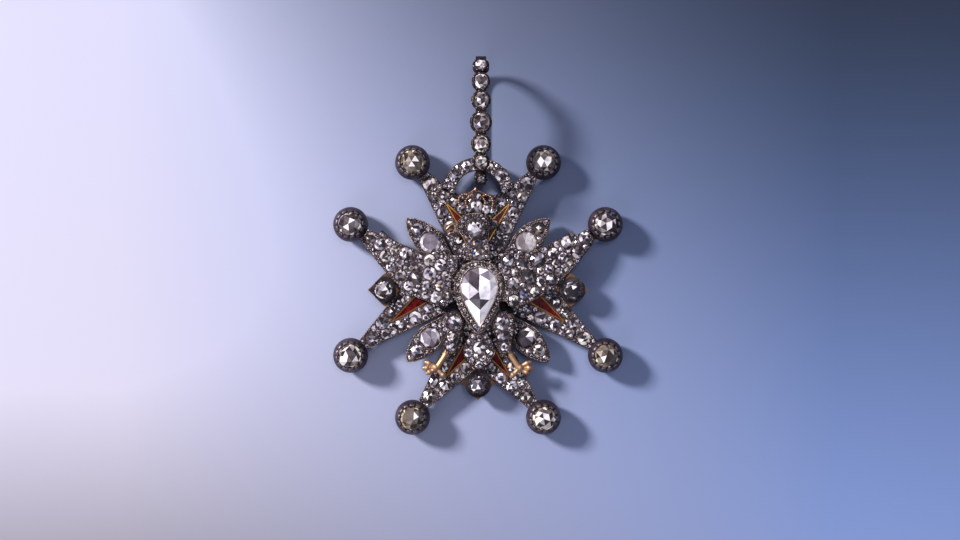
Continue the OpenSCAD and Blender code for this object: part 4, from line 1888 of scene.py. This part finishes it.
@dataclass
class Cross(Assembly):
    """The cross's plate, its ball collets, enamel fields and notch jewels."""

    widen: float = 1.055
    prong_drop: float = -1.75
    rises: tuple[float, ...] = (0.54, 0.38, 0.19, 0.0, -0.16)
    balls: tuple[RoseStone, ...] = (
        RoseStone("ball_stone_top_left", 1.0, 0.0, (0.83, 0.35, 0.66, 0.5, 0.87, 0.33), Tones.CALM),
        RoseStone("ball_stone_top_right", 0.6, 0.0, (0.8, 0.4, 0.89, 0.88, 0.6, 0.88)),
        RoseStone("ball_stone_left_upper", 0.4, 30.0, (0.87, 0.45, 0.35, 0.86, 0.4, 0.5), Tones.CALM),
        RoseStone(
            "ball_stone_left_lower", 0.5, 0.0, (0.4, 0.35, 0.8, 0.88, 0.5, 0.35),
            Tones.LIVELY, Tones.BRIGHT,
        ),
        RoseStone("ball_stone_bottom_left", 1.0, 20.0, (0.88, 0.5, 0.45, 0.5, 0.42, 0.6), Tones.CALM),
        RoseStone(
            "ball_stone_bottom_right", 0.6, -20.0, (0.87, 0.8, 0.25, 0.88, 0.6, 0.2),
            Tones.LIVELY, Tones.BRIGHT,
        ),
        RoseStone("ball_stone_right_lower", 1.0, 10.0, (0.2, 0.35, 0.45, 0.86, 0.2, 0.25), Tones.CALM),
        RoseStone(
            "ball_stone_right_upper", 0.4, -30.0, (0.89, 0.6, 0.25, 0.66, 0.25, 0.86),
            Tones.DARK, Tones.LIVELY,
        ),
    )
    notches: tuple[RoseStone, ...] = (
        RoseStone("notch_stone_left", 0.3, 0.0, (0.85, 0.7, 0.6, 0.45, 0.3, 0.3), Tones.LIVELY, Tones.WHITE),
        RoseStone(
            "notch_stone_bottom", 0.1, -120.0, (0.88, 0.3, 0.4, 0.66, 0.35, 0.3),
            Tones.DARK, Tones.CHIPS,
        ),
        RoseStone(
            "notch_stone_right", 0.15, 40.0, (0.87, 0.1, 0.1, 0.12, 0.1, 0.15),
            Tones.CHIPS, Tones.CHIPS,
        ),
    )

    def build(self) -> None:
        """Dresses the cross."""
        shop, finishes = self.shop, self.shop.finishes
        self.paint(["cross_frame"], finishes.silver)
        self.paint([f"notch_collet_{arm}" for arm in ARMS[1:]], finishes.collets)
        self.paint([f"notch_shield_{arm}" for arm in ARMS[1:]], finishes.gilt)
        self.paint(["tray_top"], finishes.gold_edge)
        self.paint([f"tray_{arm}" for arm in ARMS[1:]], finishes.worn_edge)
        self.paint([f"enamel_{arm}" for arm in ARMS], finishes.enamel)
        fields = [FieldStones(shop, "frame_stones", 5)]
        Paving(shop, "plate", ["cross_frame"], 4.9, 5.1, 3, fields, bare=True).build()
        Paving(shop, "arch", ["cross_frame"], 5.7, 5.9, 4).build()
        self.rose_stones(self.balls, BADGE, "champagne_diamond", 11, self.widen, self.rises)
        self.rose_stones(self.notches, BADGE, "main_diamond", 31, self.widen, self.rises)
        balls, notches = ([stone.node for stone in stones] for stones in (self.balls, self.notches))
        rims = Rims(shop, "ball_rims", BADGE, balls, 13, 0.3, inner=0.17, outer=0.3, high=0.1)
        rims.build(finishes.collets, finishes.domes)
        Rims(shop, "notch_rims", BADGE, notches, 8, 0.3).build(finishes.collets, finishes.domes)
        self.prongs(notches)
        Domes(shop).build()

    def prongs(self, stones: Sequence[str]) -> None:
        """Runs prongs down the collets of the notch stones.

        Args:
            stones: The stones' nodes.
        """
        mesh = bpy.data.meshes.new("notch_middles")
        drop = Vector((0.0, 0.0, self.prong_drop * MM))
        mesh.from_pydata([(seat.centre + drop)[:] for name in stones for seat in self.seats(name)], [], [])
        values = {"Count": 8, "Reach": 3.1 * MM, "Rib_Radius": 0.17 * MM}
        values.update(Start=math.radians(8.0), Sweep=math.radians(30.0))
        self.shop.repeats.ribs.bake("notch_prongs", mesh, self.shop.finishes.collets, **values)


@dataclass
class Rays(Assembly):
    """The four leaf-shaped rays with their large flat stones."""

    tables: tuple[TableStone, ...] = (
        TableStone(
            "ray_stone_upper_left", (0.5, 0.53, 0.56, 0.54, 0.5, 0.47, 0.5, 0.56, 0.6, 0.58, 0.54, 0.5),
            (0.62, 0.5, 0.4, 0.5, 0.66, 0.85, 0.82, 0.86, 0.8, 0.6, 0.85, 0.8), 0.0, 0.0,
        ),
        TableStone(
            "ray_stone_upper_right", (0.6, 0.55, 0.51, 0.48, 0.47, 0.49, 0.52, 0.56, 0.62, 0.68, 0.7, 0.66),
            (0.9, 0.8, 0.6, 0.5, 0.56, 0.62, 0.8, 0.6, 0.7, 0.88, 0.9, 0.9), 0.2, 0.2,
        ),
        TableStone(
            "ray_stone_lower_left", (0.62, 0.45, 0.66, 0.62, 0.6, 0.42, 0.6, 0.66),
            (0.88, 0.6, 0.5, 0.88, 0.8, 0.6, 0.5, 0.88), 0.0, 0.3,
        ),
        TableStone(
            "ray_stone_lower_right", (0.2, 0.26, 0.22, 0.3, 0.26, 0.2, 0.6, 0.87),
            (0.88, 0.5, 0.2, 0.3, 0.35, 0.2, 0.3, 0.88), 0.05, 0.6,
        ),
    )

    def build(self) -> None:
        """Dresses the rays."""
        shop, finishes = self.shop, self.shop.finishes
        names = [f"ray_{name}" for name in DIAGONALS]
        self.paint(names, finishes.silver)
        fields = [FieldStones(shop, "ray_small_stones", 8)]
        Paving(
            shop, "rays", names, 5.5, 5.7, 7, fields, ledge_drop=0.33, edge_bead=0.2, bright_edge=True
        ).build()
        for index, stone in enumerate(self.tables):
            facets = Facets(50 + index)
            for seat in self.seats(stone.node):
                facets.table(seat, stone)
            facets.finish(stone.node + "_cut", finishes.large_diamond, BADGE, "main_diamond", [stone.node])
        stones = [f"ray_stone_{name}" for name in DIAGONALS]
        Rims(shop, "ray_rims", BADGE, stones, 12, 0.24, outer=0.3).build(finishes.bezels, finishes.grains)


@dataclass
class Cast(Assembly):
    """A cast gold piece, rounded from its solid."""

    node: str
    smooth: int = 6
    swell: float = 0.05
    knobs: Sequence[Disc] = ()
    knob_z: float = 6.8
    voxel: float = 0.1

    def build(self, material: Material) -> None:
        """Rounds the solid and puts it in its place.

        Args:
            material: Its finish.
        """
        shape = merged([self.shop.nodes[self.node]])
        for x, y, radius in self.knobs:
            spot = Matrix.Translation(place(x, y, self.knob_z))
            bmesh.ops.create_icosphere(shape, subdivisions=2, radius=radius * MM, matrix=spot)
        name = self.node + "_cast"
        carrier = from_bmesh(name + "_base", shape, material)
        steps = (
            ("REMESH", {"mode": "VOXEL", "voxel_size": self.voxel * MM}),
            ("SMOOTH", {"iterations": self.smooth, "factor": 0.5}),
            ("DISPLACE", {"strength": self.swell * MM, "mid_level": 0.0}),
        )
        for kind, settings in steps:
            modifier = carrier.modifiers.new(kind.lower(), kind)
            for label, value in settings.items():
                setattr(modifier, label, value)
        mesh = baked(carrier)
        bpy.data.objects.remove(carrier)
        mesh.polygons.foreach_set("use_smooth", [True] * len(mesh.polygons))
        settle(make_object(name, mesh, material), BADGE, "red_gold", [self.node])


@dataclass
class Pear(Assembly):
    """The pear-shaped rose stone, with its corners and facets charted one by one."""

    centre: tuple[float, float, float] = (0.3, -1.9, 8.7)
    corners: dict[str, tuple[float, float, float]] = field(default_factory=lambda: {
        "top": (-0.1, 8.05, 0.05), "tl": (-2.6, 7.4, 0.0), "l1": (-4.2, 5.8, 0.0), "l2": (-4.95, 3.6, 0.0),
        "l3": (-4.8, 1.3, 0.0), "l4": (-3.9, -1.2, 0.0), "l5": (-2.2, -4.4, 0.0), "tip": (0.1, -8.05, 0.0),
        "r5": (2.3, -4.4, 0.0), "r4": (3.95, -1.2, 0.0), "r3": (4.8, 1.3, 0.0), "r2": (4.95, 3.6, 0.0),
        "r1": (4.2, 5.8, 0.0), "tr": (2.6, 7.4, 0.0),
        "a": (-2.8, 3.9, 1.75), "c": (-0.05, 1.5, 2.7), "d": (-2.8, -0.6, 1.75), "e": (0.25, -3.5, 1.95),
        "p": (0.15, 6.1, 1.5), "q": (3.0, 4.5, 1.65), "s": (3.1, 1.7, 1.9), "u": (2.9, -0.7, 1.7),
        "v": (0.3, -0.5, 2.55),
    })
    # Painted light: each facet's tone is its painted brightness, and the right-hand facets are painted bright
    # against the shade that the key light leaves on them.
    facets: tuple[tuple[str, float], ...] = (
        ("top tl p", 0.50), ("tl a p", 0.30), ("tl l1 a", 0.44), ("l1 l2 a", 0.62), ("p a c", 0.28),
        ("a d c", 0.74), ("l2 l3 a", 0.84), ("l3 d a", 0.78), ("l3 l4 d", 0.42), ("c d v", 0.27),
        ("v d e", 0.27), ("l4 l5 d", 0.88), ("l5 e d", 0.90), ("l5 tip e", 0.88), ("tip r5 e", 0.84),
        ("r5 u e", 0.88), ("r5 r4 u", 0.88), ("v e u", 0.32), ("v u s", 0.86), ("c v s", 0.84),
        ("r4 r3 u", 0.84), ("r3 s u", 0.88), ("c s q", 0.84), ("c q p", 0.88), ("r3 r2 s", 0.88),
        ("r2 q s", 0.80), ("r2 r1 q", 0.88), ("r1 tr q", 0.76), ("tr p q", 0.60), ("tr top p", 0.90),
    )
    rim_corners: int = 14
    back_share: float = 0.93
    back_level: float = -0.75
    side_tone: float = 0.5
    back_tone: float = 0.3
    rim_share: float = 1.042
    rim_level: float = 0.05
    rim_wire: float = 0.21

    def build(self) -> None:
        """Cuts the stone and runs a wire round its girdle."""
        finishes = self.shop.finishes
        names = list(self.corners)
        points = [Vector(corner) for corner in self.corners.values()]
        girdle = points[: self.rim_corners]
        backs = [Vector((*(point.xy * self.back_share), self.back_level)) for point in girdle]
        faces = [[names.index(name) for name in line.split()] for line, _ in self.facets]
        count, low = self.rim_corners, len(names)
        tones = [tone for _, tone in self.facets] + [self.side_tone] * count + [self.back_tone]
        for index in range(count):
            after = (index + 1) % count
            faces.append([index, low + index, low + after, after])
        faces.append(back_facet(low, count))
        middle = place(*self.centre)
        facets = Facets(70)
        frame = Matrix.Translation(middle) @ Matrix.Scale(MM, 4)
        facets.add(frame, points + backs, faces, tones, 0.0)
        facets.finish("pear_stone_cut", finishes.large_diamond, BADGE, "main_diamond", ["pear_stone"])
        wide = self.rim_share * MM
        ring = [middle + Vector((point.x, point.y, self.rim_level)) * wide for point in girdle]
        self.wire("pear_rim", ring, self.rim_wire, finishes.grains, uneven=0.35, seed=9, closed=True)


@dataclass
class Eagle(Assembly):
    """The crowned eagle: body, head, wings, tail, legs and crown."""

    loop_z: float = 6.5
    loops: tuple[tuple[Spot, ...], ...] = (
        ((-4.9, 22.8), (-5.3, 24.2), (-5.1, 25.4), (-4.3, 26.2), (-3.3, 26.4), (-2.5, 25.9)),
        ((-3.1, 23.2), (-3.4, 24.3), (-3.0, 25.2), (-2.2, 25.6), (-1.5, 26.3)),
        ((2.0, 23.2), (2.1, 24.3), (1.5, 25.2), (1.0, 25.7), (0.4, 26.4)),
        ((3.9, 22.5), (4.2, 24.2), (3.9, 25.3), (3.1, 26.0), (2.0, 26.2), (1.1, 25.6)),
    )
    # Spots where the small stones are painted as white glints, then spots where they are painted dark.
    bright: tuple[Spot, ...] = (
        (-0.5, 22.9), (2.3, 22.4), (-0.9, 16.6), (-0.2, 7.8), (7.6, -1.4), (-11.9, -1.0), (9.6, -4.8),
        (-6.6, -10.6), (7.0, -11.0), (-19.6, 2.6), (14.8, 4.6), (-15.5, 6.2), (19.0, 8.0), (0.4, -15.8),
    )
    dull: tuple[Spot, ...] = ((-0.5, 25.7), (4.3, 18.1), (13.9, 3.5))
    ridge: tuple[Spot, ...] = ((5.2, 4.3), (6.6, 4.9), (7.7, 6.0), (8.6, 7.5))
    tray_edge: tuple[Spot, ...] = ((-4.65, 15.3), (-3.1, 12.8))
    toes: tuple[Disc, ...] = (
        (13.5, -20.1, 0.72), (14.1, -21.4, 0.74), (13.3, -22.55, 0.72), (9.6, -23.3, 0.76),
        (11.6, -21.3, 0.95), (8.5, -16.9, 0.95),
    )

    def build(self) -> None:
        """Dresses the eagle."""
        shop, finishes = self.shop, self.shop.finishes
        solids = ("eagle_body", "eagle_head", "wing_left", "wing_right", "tail", "thigh_left", "thigh_right")
        self.paint(solids, finishes.silver)
        names = ("wing_left_stones", "wing_right_stones", "eagle_stones", "tail_stones")
        left, right, body, tail = (
            [FieldStones(shop, name, 90 + index, self.bright, self.dull)] for index, name in enumerate(names)
        )
        Paving(shop, "wing_left", ["wing_left"], 6.2, 100.0, 12, left).build()
        Paving(shop, "wing_right", ["wing_right"], 6.2, 100.0, 13, right).build()
        legs = ["tail", "thigh_left", "thigh_right"]
        Paving(shop, "tail", legs, 7.3, 7.9, 14, tail, ledge_drop=0.28).build()
        trunk = ["eagle_body", "eagle_head"]
        Paving(shop, "body", trunk, 7.9, 9.5, 15, body, ledge_drop=0.28, bright_edge=True).build()
        Pear(shop).build()
        Cast(shop, "foot_left", knobs=[(-x, y, r) for x, y, r in self.toes]).build(finishes.foot_gold)
        Cast(shop, "foot_right", knobs=self.toes).build(finishes.foot_gold)
        Cast(shop, "beak", smooth=2, swell=-0.05).build(finishes.beak_gold)
        Cast(shop, "crown", smooth=2, swell=-0.16).build(finishes.red_gold)
        lines = Lines()
        for loop in self.loops:
            lines.add([place(x, y, self.loop_z) for x, y in loop])
        values = {"Spacing": 0.62 * MM, "Bead_Radius": 0.46 * MM, "Variation": 0.15, "Seed": 6}
        shop.repeats.beads.bake("crown_beads", lines.mesh(), finishes.red_gold, "red_gold", **values)
        ridge, edge = ([shop.cover.top(x, y) for x, y in path] for path in (self.ridge, self.tray_edge))
        self.wire("shoulder_ridge", ridge, 0.2, finishes.grains)
        self.wire("tray_edge", edge, 0.16, finishes.gold_edge, "gold_edge")


@dataclass
class RibbonHoop(Assembly):
    """The stone-set hoop that stands on its edge."""

    rises: tuple[float, ...] = (0.42, 0.3, 0.16, 0.0, -0.3)
    stones: tuple[RoseStone, ...] = (
        RoseStone("hoop_stone_1", 0.15, 0.0, (0.6, 0.84, 0.7, 0.86, 0.5, 0.7), Tones.LIVELY),
        RoseStone("hoop_stone_2", 0.2, 0.0, (0.35, 0.22, 0.42, 0.3, 0.22, 0.3), rim=Tones.WHITE),
        RoseStone("hoop_stone_3", 0.3, 30.0, (0.45, 0.25, 0.84, 0.66, 0.2, 0.3), rim=Tones.LIVELY),
        RoseStone("hoop_stone_4", 0.3, 30.0, (0.62, 0.2, 0.3, 0.84, 0.22, 0.3), Tones.CALM),
        RoseStone("hoop_stone_5", 0.5, 0.0, (0.45, 0.62, 0.4, 0.6, 0.84, 0.5)),
        RoseStone("hoop_stone_6", 0.6, 0.0, (0.8, 0.3, 0.35, 0.62, 0.3, 0.45)),
        RoseStone("hoop_stone_7", 0.4, 0.0, (0.6, 0.5, 0.66, 0.6, 0.45, 0.6), rim=Tones.LIVELY),
    )

    def build(self) -> None:
        """Dresses the hoop."""
        finishes = self.shop.finishes
        self.paint(["hoop"], finishes.silver)
        self.rose_stones(self.stones, HOOP, "main_diamond", 110, 1.0, self.rises)
        names = [stone.node for stone in self.stones]
        rims = Rims(self.shop, "hoop_rims", HOOP, names, 8, 0.27, outer=0.3, drawn_in=0.2)
        rims.build(finishes.silver, finishes.grains)


# Stage


@dataclass
class Stage:
    """Surface, lights and camera. A lamp has a name, place, power, side in metres and colour."""

    lamps: tuple[tuple[str, Disc, float, float, Colour], ...] = (
        ("key", (-1.08, 0.61, 0.80), 28.0, 0.24, (1.0, 0.98, 0.96)),
        ("fill", (-0.7, -0.9, 1.0), 3.0, 0.9, (0.85, 0.9, 1.0)),
        ("top", (0.15, 0.25, 1.3), 2.6, 0.35, (0.95, 0.97, 1.0)),
    )
    paper_half: float = 1.5
    camera_height: float = 400.0
    badge_face: float = 5.0
    aim: Spot = (0.55, 5.5)
    width: float = 264.9
    sensor: float = 36.0
    sky: tuple[float, ...] = (0.55, 0.62, 0.85, 1.0)
    sky_strength: float = 0.22

    def build(self, paper: Material) -> None:
        """Lays the surface and adds the key light from the upper left, two fills, a soft sky and the camera.

        Args:
            paper: The surface's finish.
        """
        shape = bmesh.new()
        bmesh.ops.create_grid(shape, x_segments=2, y_segments=2, size=self.paper_half)
        from_bmesh("surface", shape, paper)
        for lamp in self.lamps:
            self.area(*lamp)
        world = bpy.data.worlds.new("sky")
        world.use_nodes = True
        background = world.node_tree.nodes["Background"]
        background.inputs["Color"].default_value = self.sky
        background.inputs["Strength"].default_value = self.sky_strength
        bpy.context.scene.world = world
        self.camera()

    @staticmethod
    def area(name: str, where: Disc, power: float, size: float, colour: Colour) -> None:
        """Adds a square light that looks at the badge.

        Args:
            name: Its name.
            where: Its place in metres.
            power: Its power in watts.
            size: Its side in metres.
            colour: Its colour.
        """
        data = bpy.data.lights.new(name, "AREA")
        data.energy, data.size, data.color = power, size, colour
        lamp = bpy.data.objects.new(name, data)
        lamp.location = where
        lamp.rotation_euler = Vector(where).to_track_quat("Z", "Y").to_euler()
        bpy.context.scene.collection.objects.link(lamp)

    def camera(self) -> None:
        """Adds the camera, straight above the badge."""
        data = bpy.data.cameras.new("camera")
        data.sensor_width = self.sensor
        data.lens = (self.camera_height - self.badge_face) * self.sensor / self.width
        camera = bpy.data.objects.new("camera", data)
        camera.location = place(*self.aim, self.camera_height)
        bpy.context.scene.collection.objects.link(camera)
        bpy.context.scene.camera = camera
        bpy.context.scene.view_settings.view_transform = "Standard"


def on_badge(frame: dict[str, object], name: str) -> bool:
    """Whether a solid is on the badge's body."""
    return name in frame["record"]["behaviour"]["bodies"][BADGE]


def main() -> None:
    """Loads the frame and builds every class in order."""
    logging.basicConfig(level=logging.INFO, format="%(name)s: %(message)s")
    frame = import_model()
    nodes = frame["nodes"]
    cover = Cover(node for name, node in nodes.items() if on_badge(frame, name) and "stone" not in name)
    shop = Workshop(nodes, Finishes(), Repeats(), cover)
    for assembly in (Cross, Rays, Eagle, RibbonHoop):
        assembly(shop).build()
    Stage().build(shop.finishes.surface)


if __name__ == "__main__":
    main()
